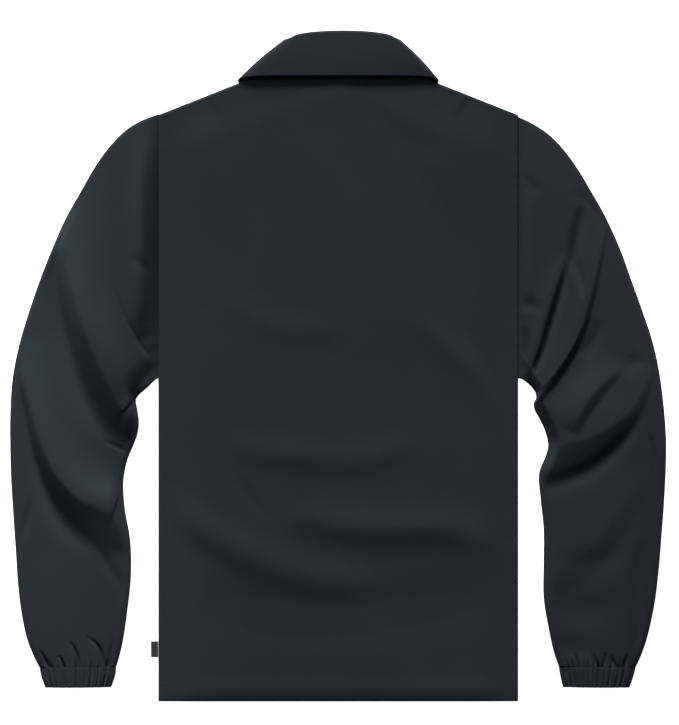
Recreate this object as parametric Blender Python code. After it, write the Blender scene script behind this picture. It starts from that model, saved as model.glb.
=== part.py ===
"""A coach jacket laid face down on a flat surface, with its back up and its neck towards +Y.

Every panel is a closed wall of cloth. Sizes in the tables are in millimetres, and MM turns a
finished point into metres. The origin is on the surface, under the middle of the jacket.
The wearer's left is at -X, because the jacket lies face down.
"""
import math
from collections import namedtuple

import bmesh
import bpy
from mathutils import Vector

MM = 0.001

# Cloth and seams
CLOTH = 1.3
SEAM_GAP = 0.4
LAYER = CLOTH + SEAM_GAP

# Body
HALF_WIDTH = 215.8
HEM_Y = -402.0
SHOULDER_END_Y = 301.0
SHOULDER_NECK_X = 119.5
SHOULDER_NECK_Y = 339.0
BACK_LEVEL = 5.0
BACK_AIR = 0.9
EDGE_FALL = 42.0
SHOULDER_COSINE = 0.93
HEM_FALL_RATE = 1.6
HEM_START = 16.0
BACK_SIDE_COLUMNS = (160.0, 190.0, 205.0)
BACK_ROWS = 27
BACK_CROWD = 1.12
BACK_PITCH = 27.0
FRONT_ROWS = 13
FRONT_CROWD = 1.7
FRONT_PITCH = 24.0

# Placket and snaps
PLACKET_LAP = 17.0
PLACKET_LIFT = 1.05
PLACKET_RAMP = 9.0
PLACKET_MARGIN = 2.0
LAP_MARGIN = 3.0
SNAP_COUNT = 5
SNAP_RADIUS = 6.5
SNAP_THICKNESS = 0.75
SNAP_BEVEL = 0.35
SNAP_TOP_Y = 236.0
SNAP_PITCH = 145.0
SNAP_SIDES = 20

# Room round the collar's neck seam, widest at the sides of the neck
NECK_CLEAR_X = 0.8
NECK_CLEAR_Y = 0.5
NECK_CORNER_X = 78.0
NECK_CORNER_RAMP = 8.0
NECK_CORNER_CLEAR = 0.9

# Room under the fronts for the collar's front points
LEAF_LIFT = 1.65
LEAF_LOW_Y = 172.0
LEAF_POINT_X = 55.0
LEAF_POINT_Y = 221.0
LEAF_SPREAD = 0.52
LEAF_RAMP = 12.0
LEAF_MARGIN = 54.0

# Sleeves
SLEEVE_START_X = HALF_WIDTH + SEAM_GAP
SLEEVE_EDGE_START = 2.2
SLEEVE_EDGE_HEIGHT = 3.4
SLEEVE_EDGE_RADIUS = 5.0
SLEEVE_CROWN = 14.0
CUFF_CROWN = 8.5
CROWN_START = 34.0
CUFF_BLEND = 95.0
LENS_POWER = 0.75
TOP_SEGMENTS = 30
EVEN_SPACING = 0.6
FLOOR_SEGMENTS = 5
SLEEVE_STATIONS = 25
LOWEST_TOP = 3.3
LOW_BEND = 1.2
INNER_RISE = 0.25
SLOPE_STEP = 1.5
STEEPEST_SLOPE = 1.2
FOLD_EDGE_FADE = 22.0
END_PLEATS = 7
END_PLEAT_HEIGHT = 1.6
END_PLEAT_REACH = 30.0

# Folds
FOLD_STEPS = 12
FOLD_FADE_RATE = 3.0
FOLD_END_SHARE = 0.15

# Cuffs
CUFF_GATHERS = 10
CUFF_GATHER_HEIGHT = 1.2
CUFF_TOP_SEGMENTS = 40
CUFF_STATIONS = 3
GATHER_EDGE_FADE = 9.0

# Side tag
TAG_LENGTH = 8.4
TAG_HEIGHT = 19.2
TAG_MIDDLE_Y = -339.6
TAG_THICKNESS = 1.0
TAG_FLOOR = 0.9
TAG_GAP = 0.3

# Collar
COLLAR_LEAN = 5.5
LEAN_REACH = 60.0
LEAF_RIGHT_DROP = 3.0
LEAF_DROP_REACH = 110.0
STAND_SEGMENTS = 2
ROLL_SEGMENTS = 4
LEAF_SEGMENTS = 5

Section = namedtuple("Section", "outer_x outer_y inner_x inner_y")
Fold = namedtuple("Fold", "x0 y0 x1 y1 x2 y2 width height")
Station = namedtuple(
    "Station",
    "turn neck_x neck_y neck_z fold_x fold_y fold_z edge_x edge_y edge_z roll crown",
)

# Sleeve sections run from the armhole seam to the cuff: the outer edge's point, then the inner edge's
LEFT_SECTIONS = [
    Section(-SLEEVE_START_X, 302.0, -SLEEVE_START_X, -14.4),
    Section(-236.7, 294.0, -218.0, -15.6),
    Section(-255.9, 282.0, -220.5, -17.4),
    Section(-275.1, 262.2, -224.1, -21.0),
    Section(-291.9, 238.8, -228.3, -25.2),
    Section(-309.9, 207.6, -233.1, -29.4),
    Section(-327.9, 175.2, -237.3, -33.0),
    Section(-344.7, 136.8, -241.5, -37.8),
    Section(-357.9, 103.2, -242.7, -43.2),
    Section(-371.1, 64.8, -241.1, -51.0),
    Section(-383.1, 24.0, -239.1, -64.8),
    Section(-390.9, -16.8, -240.3, -79.2),
    Section(-393.5, -58.8, -245.1, -93.6),
    Section(-393.5, -100.8, -252.9, -112.8),
    Section(-392.1, -142.8, -257.7, -138.0),
    Section(-389.7, -180.0, -255.9, -170.4),
    Section(-386.9, -220.8, -249.3, -210.0),
    Section(-384.3, -260.4, -248.7, -253.2),
    Section(-380.1, -295.2, -252.9, -292.8),
    Section(-373.5, -326.4, -257.7, -326.4),
    Section(-365.1, -348.0, -262.5, -348.0),
    Section(-358.5, -361.2, -266.1, -360.2),
]
RIGHT_SECTIONS = [
    Section(SLEEVE_START_X, 298.8, SLEEVE_START_X, -14.4),
    Section(232.5, 291.0, 217.5, -15.0),
    Section(251.7, 278.4, 221.1, -16.2),
    Section(269.7, 260.4, 225.3, -19.2),
    Section(286.5, 237.6, 229.5, -22.8),
    Section(304.5, 207.6, 233.7, -27.6),
    Section(321.3, 177.6, 236.9, -33.0),
    Section(338.1, 140.4, 237.1, -39.6),
    Section(350.7, 105.6, 234.3, -45.6),
    Section(364.5, 67.2, 236.1, -54.0),
    Section(376.5, 31.2, 242.1, -64.8),
    Section(384.9, -6.0, 248.1, -78.0),
    Section(390.3, -46.8, 251.7, -93.6),
    Section(393.3, -88.8, 248.7, -108.0),
    Section(392.7, -127.2, 240.7, -129.6),
    Section(390.7, -165.6, 242.7, -159.6),
    Section(387.9, -202.8, 246.3, -195.6),
    Section(384.9, -240.0, 246.3, -235.2),
    Section(380.1, -280.8, 246.3, -277.2),
    Section(372.3, -319.2, 252.3, -314.4),
    Section(363.9, -345.6, 258.3, -342.0),
    Section(356.7, -361.2, 264.5, -360.2),
]
LEFT_CUFF_SECTIONS = [
    Section(-357.6, -361.6, -266.7, -360.6),
    Section(-355.5, -369.0, -267.6, -368.0),
    Section(-353.0, -377.0, -270.4, -376.4),
    Section(-348.9, -385.6, -273.9, -385.0),
]
RIGHT_CUFF_SECTIONS = [
    Section(355.8, -361.6, 265.2, -360.6),
    Section(354.6, -369.0, 267.0, -368.0),
    Section(351.6, -377.0, 269.0, -376.4),
    Section(347.7, -385.6, 271.2, -385.0),
]

# Folds: three points along the line, the fold's half width and its height, negative for a trough
LEFT_FOLDS = [
    Fold(-326.7, 151.2, -302.7, 73.2, -246.3, -28.8, 17.0, 6.5),
    Fold(-339.9, 124.8, -326.7, 7.2, -255.9, -85.2, 17.0, -9.0),
    Fold(-379.5, -20.4, -333.9, -112.8, -259.5, -157.2, 15.0, 4.5),
    Fold(-374.7, -64.8, -331.5, -166.8, -261.9, -214.8, 14.0, -6.5),
    Fold(-284.7, -224.4, -269.1, -244.8, -258.3, -271.2, 6.0, -2.0),
    Fold(-265.5, 91.2, -245.1, 52.8, -222.3, 12.0, 7.0, -2.0),
    Fold(-247.5, 120.0, -235.5, 117.6, -224.7, 112.8, 6.0, -1.5),
]
RIGHT_FOLDS = [
    Fold(279.3, 128.4, 261.3, 64.8, 243.3, 1.2, 8.0, -4.5),
    Fold(302.1, 124.8, 279.3, 40.8, 242.1, -20.4, 11.0, 5.5),
    Fold(326.1, 159.6, 302.1, 49.2, 239.7, -45.6, 10.0, -7.0),
    Fold(335.7, 124.8, 321.3, 43.2, 284.1, -22.8, 13.0, 4.0),
    Fold(288.9, 184.8, 288.9, 139.2, 293.7, 98.4, 9.0, -3.0),
    Fold(341.7, -18.0, 320.1, -38.4, 299.7, -57.6, 9.0, -2.5),
    Fold(371.7, -14.4, 328.5, -62.4, 255.3, -94.8, 14.0, 5.5),
    Fold(378.9, -22.8, 338.1, -88.8, 246.9, -144.0, 15.0, -8.5),
    Fold(216.9, 277.2, 226.5, 253.2, 231.3, 219.6, 8.0, -3.0),
    Fold(260.1, -223.2, 302.1, -225.6, 341.7, -223.2, 11.0, -1.5),
]
BACK_FOLDS = [
    Fold(-212.7, -156.0, -91.5, -211.2, 59.7, -252.0, 20.0, 2.4),
    Fold(-146.7, -226.8, -45.9, -262.8, 74.1, -284.4, 18.0, -1.4),
    Fold(-41.1, -160.8, 56.1, -170.4, 165.3, -170.4, 18.0, 2.2),
    Fold(-45.9, -190.8, 50.1, -206.4, 140.1, -216.0, 16.0, -1.4),
    Fold(-81.9, -115.2, -33.9, -124.8, 14.1, -132.0, 14.0, -1.0),
    Fold(-121.5, -94.8, -21.9, -88.8, 74.1, -80.4, 20.0, 1.2),
    Fold(4.5, 322.8, 110.1, 241.2, 150.0, 140.0, 26.0, -1.0),
    Fold(124.5, 166.8, 172.0, 80.0, 200.0, -20.0, 24.0, -1.0),
    Fold(44.5, 66.0, 105.0, 25.7, 155.1, -9.6, 22.0, -0.9),
]

# Half of the collar, from the middle of the back round the left side to the left front point
COLLAR_HALF = [
    Station(0, 0.0, 356.5, 4.7, 0.0, 402.0, 7.2, 0.0, 347.5, 12.2, 2.6, 1.5),
    Station(0, -34.0, 356.2, 4.7, -30.0, 401.0, 7.2, -38.0, 347.5, 12.6, 2.6, 1.5),
    Station(0, -64.0, 355.0, 4.6, -52.0, 398.0, 7.0, -76.0, 347.3, 12.6, 2.6, 2.0),
    Station(0, -82.0, 352.8, 4.5, -63.0, 393.5, 6.6, -102.0, 346.5, 12.0, 2.4, 3.0),
    Station(35, -89.0, 351.2, 4.2, -66.0, 391.0, 5.8, -113.5, 345.0, 9.6, 2.0, 4.5),
    Station(90, -92.0, 349.0, 3.0, -67.0, 389.0, 4.6, -119.3, 343.2, 6.0, 1.5, 5.5),
    Station(145, -91.5, 345.0, 2.35, -66.0, 386.0, 3.2, -120.2, 342.2, 2.2, 1.1, 3.5),
    Station(180, -90.0, 340.0, 2.35, -64.0, 381.0, 2.35, -119.6, 339.0, 0.68, 0.83, 0.0),
    Station(180, -85.0, 328.0, 2.35, -58.0, 369.0, 2.35, -114.0, 318.0, 0.68, 0.83, 0.0),
    Station(180, -73.0, 307.0, 2.35, -45.0, 342.0, 2.35, -101.0, 285.0, 0.68, 0.83, 0.0),
    Station(180, -50.0, 283.0, 2.35, -27.0, 313.0, 2.35, -81.0, 251.0, 0.68, 0.83, 0.0),
    Station(180, -24.0, 267.5, 2.35, -11.0, 295.0, 2.35, -63.0, 229.0, 0.68, 0.83, 0.0),
    Station(180, -4.0, 262.5, 2.35, -4.0, 288.0, 2.35, -55.0, 221.0, 0.68, 0.83, 0.0),
]
SIDE_ROW = 5


def smooth(value):
    """A soft step from 0 to 1."""
    value = min(max(value, 0.0), 1.0)
    return value * value * (3.0 - 2.0 * value)


def clear_scene():
    for item in list(bpy.data.objects):
        bpy.data.objects.remove(item, do_unlink=True)


def make_material(name, colour, roughness, metallic=0.0):
    material = bpy.data.materials.new(name)
    material.use_nodes = True
    shader = material.node_tree.nodes["Principled BSDF"]
    shader.inputs["Base Color"].default_value = (*colour, 1.0)
    shader.inputs["Roughness"].default_value = roughness
    shader.inputs["Metallic"].default_value = metallic
    return material


def finish_object(name, bm, material):
    """Turns a closed bmesh into a named object, with its faces pointing out."""
    bmesh.ops.recalc_face_normals(bm, faces=bm.faces)
    mesh = bpy.data.meshes.new(name)
    bm.to_mesh(mesh)
    bm.free()
    mesh.materials.append(material)
    mesh.shade_smooth()
    mesh.set_sharp_from_angle(angle=math.radians(50.0))
    item = bpy.data.objects.new(name, mesh)
    bpy.context.scene.collection.objects.link(item)
    return item


def cloth_wall(name, material, across, along, outer, inner, closed=False):
    """A wall between two surfaces. outer and inner give a point in mm from two grid numbers.

    closed joins the grid's first and last columns, which makes the wall a tube.
    """
    bm = bmesh.new()
    bmesh.ops.create_grid(bm, x_segments=across, y_segments=along, size=0.5)
    column = bm.verts.layers.int.new("column")
    row = bm.verts.layers.int.new("row")
    for vert in bm.verts:
        vert[column] = round((vert.co.x + 0.5) * across)
        vert[row] = round((vert.co.y + 0.5) * along)
        vert.co = outer(vert[column], vert[row]) * MM
    if closed:
        bmesh.ops.remove_doubles(bm, verts=bm.verts, dist=1e-6)
    made = bmesh.ops.extrude_face_region(bm, geom=bm.faces[:], use_keep_orig=True)
    for vert in made["geom"]:
        if isinstance(vert, bmesh.types.BMVert):
            vert.co = inner(vert[column], vert[row]) * MM
    return finish_object(name, bm, material)


def interpolate(pairs, value):
    """Straight-line reading of a rising table of (position, result) pairs."""
    if value <= pairs[0][0]:
        return pairs[0][1]
    for (x0, y0), (x1, y1) in zip(pairs, pairs[1:]):
        if value <= x1:
            return y0 + (y1 - y0) * (value - x0) / (x1 - x0)
    return pairs[-1][1]


def fold_height(folds, x, y):
    """Height that the folds add at a place: each fades to nothing at its ends and sides."""
    total = 0.0
    for fold in folds:
        best = 0.0
        for index in range(FOLD_STEPS + 1):
            t = index / FOLD_STEPS
            start = (1.0 - t) * (1.0 - 2.0 * t)
            middle = 4.0 * t * (1.0 - t)
            end = t * (2.0 * t - 1.0)
            px = start * fold.x0 + middle * fold.x1 + end * fold.x2
            py = start * fold.y0 + middle * fold.y1 + end * fold.y2
            distance = (x - px) ** 2 + (y - py) ** 2
            fade = smooth(min(t, 1.0 - t) * FOLD_FADE_RATE + FOLD_END_SHARE)
            amount = math.exp(-distance / (fold.width ** 2)) * fade
            best = max(best, amount)
        total += fold.height * best
    return total


def shoulder_y(x):
    """The shoulder line's height over the jacket's width, drawn on past the neck."""
    slope = (SHOULDER_NECK_Y - SHOULDER_END_Y) / (HALF_WIDTH - SHOULDER_NECK_X)
    return SHOULDER_END_Y + (HALF_WIDTH - abs(x)) * slope


def neck_points(rows):
    """The panel's corners along the neck seam, from the middle out, clear of the collar."""
    points = []
    for station in rows:
        x = abs(station.neck_x) + NECK_CLEAR_X
        corner = NECK_CORNER_CLEAR * smooth((x - NECK_CORNER_X) / NECK_CORNER_RAMP)
        points.append((x, station.neck_y - NECK_CLEAR_Y - corner))
    return sorted(points)


BACK_NECK = neck_points(COLLAR_HALF[: SIDE_ROW + 1])
FRONT_NECK = neck_points(COLLAR_HALF[SIDE_ROW:])


def panel_top(x, neck):
    if abs(x) > neck[-1][0]:
        return shoulder_y(x)
    return interpolate(neck, abs(x))


def leaf_lift(x, y):
    """How far the collar's front points hold the fronts up from the floor."""
    reach = LEAF_POINT_X + (y - LEAF_POINT_Y) * LEAF_SPREAD + LEAF_MARGIN
    return LEAF_LIFT * smooth((y - LEAF_LOW_Y) / LEAF_RAMP) * smooth((reach - abs(x)) / LEAF_RAMP)


def placket_lift(x):
    """How far the snap caps hold the outer placket up from the floor."""
    return PLACKET_LIFT * smooth((PLACKET_LAP + PLACKET_MARGIN + PLACKET_RAMP - abs(x)) / PLACKET_RAMP)


def front_floor(x, y):
    return max(placket_lift(x), leaf_lift(x, y))


def lap_lift(x):
    """The inner placket climbs onto the outer one."""
    return LAYER * smooth((PLACKET_LAP + PLACKET_MARGIN + PLACKET_RAMP - x) / PLACKET_RAMP)


def back_floor(x, y):
    """The back's underside: above both fronts, softly level inside, low at the side seams."""
    stack = front_floor(x, y) + LAYER
    if abs(x) < PLACKET_LAP + PLACKET_RAMP + LAP_MARGIN:
        stack += LAYER
    side = HALF_WIDTH - abs(x)
    top = (shoulder_y(x) - y) * SHOULDER_COSINE
    hem = (y - HEM_Y) * HEM_FALL_RATE + HEM_START
    inside = smooth(min(side, top, hem) / EDGE_FALL)
    level = LAYER + (BACK_LEVEL - CLOTH * 0.5 - LAYER) * inside
    folded = max(fold_height(BACK_FOLDS, x, y), -BACK_AIR)
    return max(stack, level) + inside * (BACK_AIR + folded)


def steps_between(start, end, pitch):
    """Column places from start to end, no further apart than pitch, without the last."""
    count = max(1, math.ceil(abs(end - start) / pitch))
    return [start + (end - start) * index / count for index in range(count)]


def column_places(corners, pitch):
    places = []
    for start, end in zip(corners, corners[1:]):
        places += steps_between(start, end, pitch)
    return places + [corners[-1]]


def make_panel(name, material, columns, rows, crowd, neck, floor):
    """A flat panel: columns from side to side, rows from the hem to its top edge.

    A crowd over 1 sets the rows closer together towards the top.
    """

    def place(column, row, height):
        x = columns[column]
        share = 1.0 - (1.0 - row / rows) ** crowd
        y = HEM_Y + (panel_top(x, neck) - HEM_Y) * share
        return Vector((x, y, floor(x, y) + height))

    cloth_wall(
        name,
        material,
        len(columns) - 1,
        rows,
        lambda column, row: place(column, row, CLOTH),
        lambda column, row: place(column, row, 0.0),
    )


def make_back(material):
    half = [x for x, _ in BACK_NECK[1:]] + [SHOULDER_NECK_X, *BACK_SIDE_COLUMNS, HALF_WIDTH]
    corners = [-x for x in reversed(half)] + [0.0] + half
    columns = column_places(corners, BACK_PITCH)
    make_panel("back", material, columns, BACK_ROWS, BACK_CROWD, BACK_NECK, back_floor)


def make_fronts(material):
    level_end = PLACKET_LAP + PLACKET_MARGIN
    lap = [level_end, level_end + PLACKET_RAMP]
    neck = [x for x, _ in FRONT_NECK if x > lap[1] + PLACKET_MARGIN]
    collar_end = FRONT_NECK[0][0]
    outer = [-x for x in reversed([collar_end] + lap + neck + [SHOULDER_NECK_X, HALF_WIDTH])]
    left = column_places(outer + [collar_end, PLACKET_LAP], FRONT_PITCH)
    right = column_places([-PLACKET_LAP, -collar_end] + [-x for x in reversed(outer)], FRONT_PITCH)
    make_panel("front_left", material, left, FRONT_ROWS, FRONT_CROWD, FRONT_NECK, front_floor)

    def lapped_floor(x, y):
        return front_floor(x, y) + lap_lift(x)

    make_panel("front_right", material, right, FRONT_ROWS, FRONT_CROWD, FRONT_NECK, lapped_floor)


def section_at(sections, share):
    """A section between two rows of the table, on a smooth curve through all of them."""
    position = share * (len(sections) - 1)
    index = min(int(position), len(sections) - 2)
    t = position - index
    last = len(sections) - 1
    rows = [sections[min(max(index + step, 0), last)] for step in (-1, 0, 1, 2)]
    values = []
    for a, b, c, d in zip(*rows):
        slope_b = (c - a) * 0.5
        slope_c = (d - b) * 0.5
        values.append(
            b
            + slope_b * t
            + (3.0 * (c - b) - 2.0 * slope_b - slope_c) * t * t
            + (2.0 * (b - c) + slope_b + slope_c) * t * t * t
        )
    return Section(*values)


def ring_share(index, top_segments, floor_segments):
    """Where a ring's point lies across the tube, 0 at the outer edge, and if it is on top.

    The ring climbs a low upright edge at each side, so its top and its floor share both ends.
    """
    index %= top_segments + floor_segments
    if index <= top_segments:
        even = index / top_segments
        eased = 0.5 - 0.5 * math.cos(math.pi * even)
        return EVEN_SPACING * even + (1.0 - EVEN_SPACING) * eased, True
    return 1.0 - (index - top_segments - 1) / (floor_segments - 2), False


def edge_round(distance):
    """The tube's rounded edge: 0 at the edge, 1 past the edge's radius."""
    share = min(max(distance / SLEEVE_EDGE_RADIUS, 0.0), 1.0)
    return math.sqrt(1.0 - (1.0 - share) ** 2)


def soft_floor(height, lowest):
    """Keeps a height above the lowest one with a soft bend."""
    above = max(height - lowest, 0.0)
    return lowest + above + LOW_BEND * math.log1p(math.exp(-abs(height - lowest) / LOW_BEND))


def sleeve_height(folds, place, share, width):
    """Height of the sleeve's upper cloth over the floor."""
    away = abs(place.x) - SLEEVE_START_X
    puff = smooth(away / CROWN_START)
    to_cuff = smooth((place.y - LEFT_SECTIONS[-1].outer_y) / CUFF_BLEND)
    crown = CUFF_CROWN + (SLEEVE_CROWN - CUFF_CROWN) * to_cuff
    lens = math.sin(math.pi * share) ** LENS_POWER
    near_cuff = 1.0 - smooth((place.y - LEFT_SECTIONS[-1].outer_y) / END_PLEAT_REACH)
    pleats = END_PLEAT_HEIGHT * math.cos(2.0 * math.pi * END_PLEATS * share) * near_cuff
    inside = smooth(min(share, 1.0 - share) * width / FOLD_EDGE_FADE)
    folded = (fold_height(folds, place.x, place.y) + pleats) * inside
    height = SLEEVE_EDGE_HEIGHT + puff * (crown * lens + folded)
    return soft_floor(height, LOWEST_TOP) if inside > 0.0 else height


def make_tube(name, material, sections, stations, top_segments, height):
    """A flattened tube of cloth: flat on the floor, its top as high as height says."""

    def frame(row):
        section = section_at(sections, row / stations)
        outer = Vector((section.outer_x, section.outer_y, 0.0))
        inner = Vector((section.inner_x, section.inner_y, 0.0))
        return outer, inner, (inner - outer).length

    def top_height(outer, inner, width, share):
        place = outer.lerp(inner, share)
        rounded = edge_round(min(share, 1.0 - share) * width)
        return SLEEVE_EDGE_START + (height(place, share, width) - SLEEVE_EDGE_START) * rounded

    def outside(column, row):
        outer, inner, width = frame(row)
        share, on_top = ring_share(column, top_segments, FLOOR_SEGMENTS)
        point = outer.lerp(inner, share)
        if on_top:
            point.z = top_height(outer, inner, width, share)
        return point

    def inside(column, row):
        outer, inner, width = frame(row)
        share, on_top = ring_share(column, top_segments, FLOOR_SEGMENTS)
        margin = CLOTH / width
        share = margin + share * (1.0 - 2.0 * margin)
        point = outer.lerp(inner, share)
        point.z = CLOTH
        if on_top:
            step = SLOPE_STEP / width
            before = top_height(outer, inner, width, max(share - step, 0.0))
            after = top_height(outer, inner, width, min(share + step, 1.0))
            slope = min(abs(after - before) / (2.0 * SLOPE_STEP), STEEPEST_SLOPE)
            depth = CLOTH * math.sqrt(1.0 + slope * slope)
            point.z = max(top_height(outer, inner, width, share) - depth, CLOTH + INNER_RISE)
        return point

    cloth_wall(name, material, top_segments + FLOOR_SEGMENTS, stations, outside, inside, closed=True)


def cuff_height(place, share, width):
    """Height of the gathered casing, ridged by its elastic."""
    lens = math.sin(math.pi * share) ** LENS_POWER
    inside = smooth(min(share, 1.0 - share) * width / GATHER_EDGE_FADE)
    gathers = CUFF_GATHER_HEIGHT * math.cos(2.0 * math.pi * CUFF_GATHERS * share)
    return SLEEVE_EDGE_HEIGHT + CUFF_CROWN * lens + gathers * inside


def make_sleeves(material, cuff_material):
    sides = [
        ("left", LEFT_SECTIONS, LEFT_CUFF_SECTIONS, LEFT_FOLDS),
        ("right", RIGHT_SECTIONS, RIGHT_CUFF_SECTIONS, RIGHT_FOLDS),
    ]
    for side, sections, cuff_sections, folds in sides:

        def height(place, share, width, folds=folds):
            return sleeve_height(folds, place, share, width)

        make_tube(f"sleeve_{side}", material, sections, SLEEVE_STATIONS, TOP_SEGMENTS, height)
        make_tube(
            f"cuff_{side}", cuff_material, cuff_sections, CUFF_STATIONS, CUFF_TOP_SEGMENTS, cuff_height
        )


def collar_stations():
    """All stations, from the left front point round the back to the right front point."""
    left = [item for item in reversed(COLLAR_HALF)]
    right = []
    for item in COLLAR_HALF[1:]:
        drop = LEAF_RIGHT_DROP * smooth(abs(item.edge_x) / LEAF_DROP_REACH) if item.turn == 0 else 0.0
        right.append(
            item._replace(
                neck_x=-item.neck_x,
                fold_x=-item.fold_x,
                edge_x=-item.edge_x,
                edge_z=item.edge_z - drop,
            )
        )
    return left + right


def collar_profile(station, side, index):
    """Middle of the cloth and its normal towards the fold's inside, at a point of the profile."""
    lean = COLLAR_LEAN * smooth((station.fold_y - SHOULDER_NECK_Y) / LEAN_REACH)
    neck = Vector((station.neck_x, station.neck_y, station.neck_z))
    fold = Vector((station.fold_x + lean, station.fold_y, station.fold_z))
    edge = Vector((station.edge_x, station.edge_y, station.edge_z))
    along = Vector((fold.x - neck.x, fold.y - neck.y, 0.0)).normalized()
    sideways = Vector((-along.y, along.x, 0.0)) * side
    turn = math.radians(station.turn)
    up = Vector((0.0, 0.0, 1.0))
    normal = up * math.cos(turn) + sideways * math.sin(turn)
    centre = fold - along * (station.roll + CLOTH * 0.5) + normal * station.roll
    stand_end = centre - normal * station.roll
    leaf_start = centre + normal * station.roll
    if index <= STAND_SEGMENTS:
        return neck.lerp(stand_end, index / STAND_SEGMENTS), normal
    index -= STAND_SEGMENTS
    if index < ROLL_SEGMENTS:
        angle = math.pi * index / ROLL_SEGMENTS
        towards = normal * math.cos(angle) - along * math.sin(angle)
        return centre - towards * station.roll, towards
    share = (index - ROLL_SEGMENTS) / LEAF_SEGMENTS
    bulge = sideways * math.sin(turn) + up * max(math.cos(turn), 0.0)
    crowned = leaf_start.lerp(edge, share) + bulge * station.crown * math.sin(math.pi * share)
    return crowned, -normal


def make_collar(material):
    stations = collar_stations()
    middle = len(COLLAR_HALF) - 1

    def face(column, row, offset):
        side = 1.0 if row <= middle else -1.0
        centre, towards = collar_profile(stations[row], side, column)
        point = centre + towards * offset
        point.z = max(point.z, 0.0)
        return point

    cloth_wall(
        "collar",
        material,
        STAND_SEGMENTS + ROLL_SEGMENTS + LEAF_SEGMENTS,
        len(stations) - 1,
        lambda column, row: face(column, row, -CLOTH * 0.5),
        lambda column, row: face(column, row, CLOTH * 0.5),
    )


def make_snaps(material):
    """Snap caps between the outer placket and the floor."""
    for index in range(SNAP_COUNT):
        bm = bmesh.new()
        made = bmesh.ops.create_cone(
            bm,
            cap_ends=True,
            segments=SNAP_SIDES,
            radius1=(SNAP_RADIUS - SNAP_BEVEL) * MM,
            radius2=SNAP_RADIUS * MM,
            depth=SNAP_THICKNESS * MM,
        )
        height = SNAP_THICKNESS * 0.5
        middle = Vector((0.0, SNAP_TOP_Y - SNAP_PITCH * index, height)) * MM
        bmesh.ops.translate(bm, verts=made["verts"], vec=middle)
        finish_object(f"snap_{index + 1}", bm, material)


def make_side_tag(material):
    """The small folded tag caught in the left side seam."""
    bm = bmesh.new()
    made = bmesh.ops.create_cube(bm, size=1.0)
    size = Vector((TAG_LENGTH, TAG_HEIGHT, TAG_THICKNESS)) * MM
    bmesh.ops.scale(bm, verts=made["verts"], vec=size)
    middle_x = -HALF_WIDTH - TAG_GAP - TAG_LENGTH * 0.5
    middle = Vector((middle_x, TAG_MIDDLE_Y, TAG_FLOOR + TAG_THICKNESS * 0.5)) * MM
    bmesh.ops.translate(bm, verts=made["verts"], vec=middle)
    finish_object("side_tag", bm, material)


def main():
    clear_scene()
    shell = make_material("shell_poplin", (0.022, 0.025, 0.028), 0.72)
    casing = make_material("elastic_casing", (0.021, 0.024, 0.027), 0.75)
    cap = make_material("snap_cap", (0.03, 0.03, 0.032), 0.35, 0.9)
    ribbon = make_material("tag_ribbon", (0.05, 0.048, 0.036), 0.8)
    make_back(shell)
    make_fronts(shell)
    make_sleeves(shell, casing)
    make_collar(shell)
    make_snaps(cap)
    make_side_tag(ribbon)


main()
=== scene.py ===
"""A coach jacket laid face down on a pale table: shell cloth, cuffs, collar, snaps, tag and stage.

Sizes in the tables are in millimetres, and MM turns a finished point into metres.
The wearer's left is at -X, because the jacket lies face down.
"""
import math
from collections import namedtuple

import bmesh
import bpy
import numpy as np
from bpy.props import FloatProperty, FloatVectorProperty, PointerProperty
from mathutils import Matrix, Vector


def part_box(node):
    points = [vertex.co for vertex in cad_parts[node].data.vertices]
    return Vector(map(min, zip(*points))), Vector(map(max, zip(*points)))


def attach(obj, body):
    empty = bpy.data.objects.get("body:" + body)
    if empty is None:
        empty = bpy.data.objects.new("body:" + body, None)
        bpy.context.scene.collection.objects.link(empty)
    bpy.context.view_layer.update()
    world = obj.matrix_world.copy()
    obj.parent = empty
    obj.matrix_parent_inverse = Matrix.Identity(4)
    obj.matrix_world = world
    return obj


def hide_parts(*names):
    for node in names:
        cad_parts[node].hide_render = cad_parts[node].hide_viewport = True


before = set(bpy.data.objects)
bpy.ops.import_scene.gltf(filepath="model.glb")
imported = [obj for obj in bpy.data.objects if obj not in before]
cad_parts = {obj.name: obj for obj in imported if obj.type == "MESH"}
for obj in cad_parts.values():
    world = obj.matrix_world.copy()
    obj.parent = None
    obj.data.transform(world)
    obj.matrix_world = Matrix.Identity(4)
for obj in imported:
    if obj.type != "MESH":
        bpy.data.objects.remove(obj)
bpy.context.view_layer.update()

bl_info = {
    "name": "Coach Jacket",
    "version": (1, 0, 0),
    "blender": (4, 5, 0),
    "location": "3D View > Sidebar > Coach Jacket",
    "description": "A coach jacket laid face down, from its cloth to its snaps",
    "category": "Add Mesh",
}

MM = 0.001
BODY = "root"
UP = Vector((0.0, 0.0, 1.0))

# Cloth layers, as in the part's source
CLOTH = 1.3
SEAM_GAP = 0.4
LAYER = CLOTH + SEAM_GAP

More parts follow.
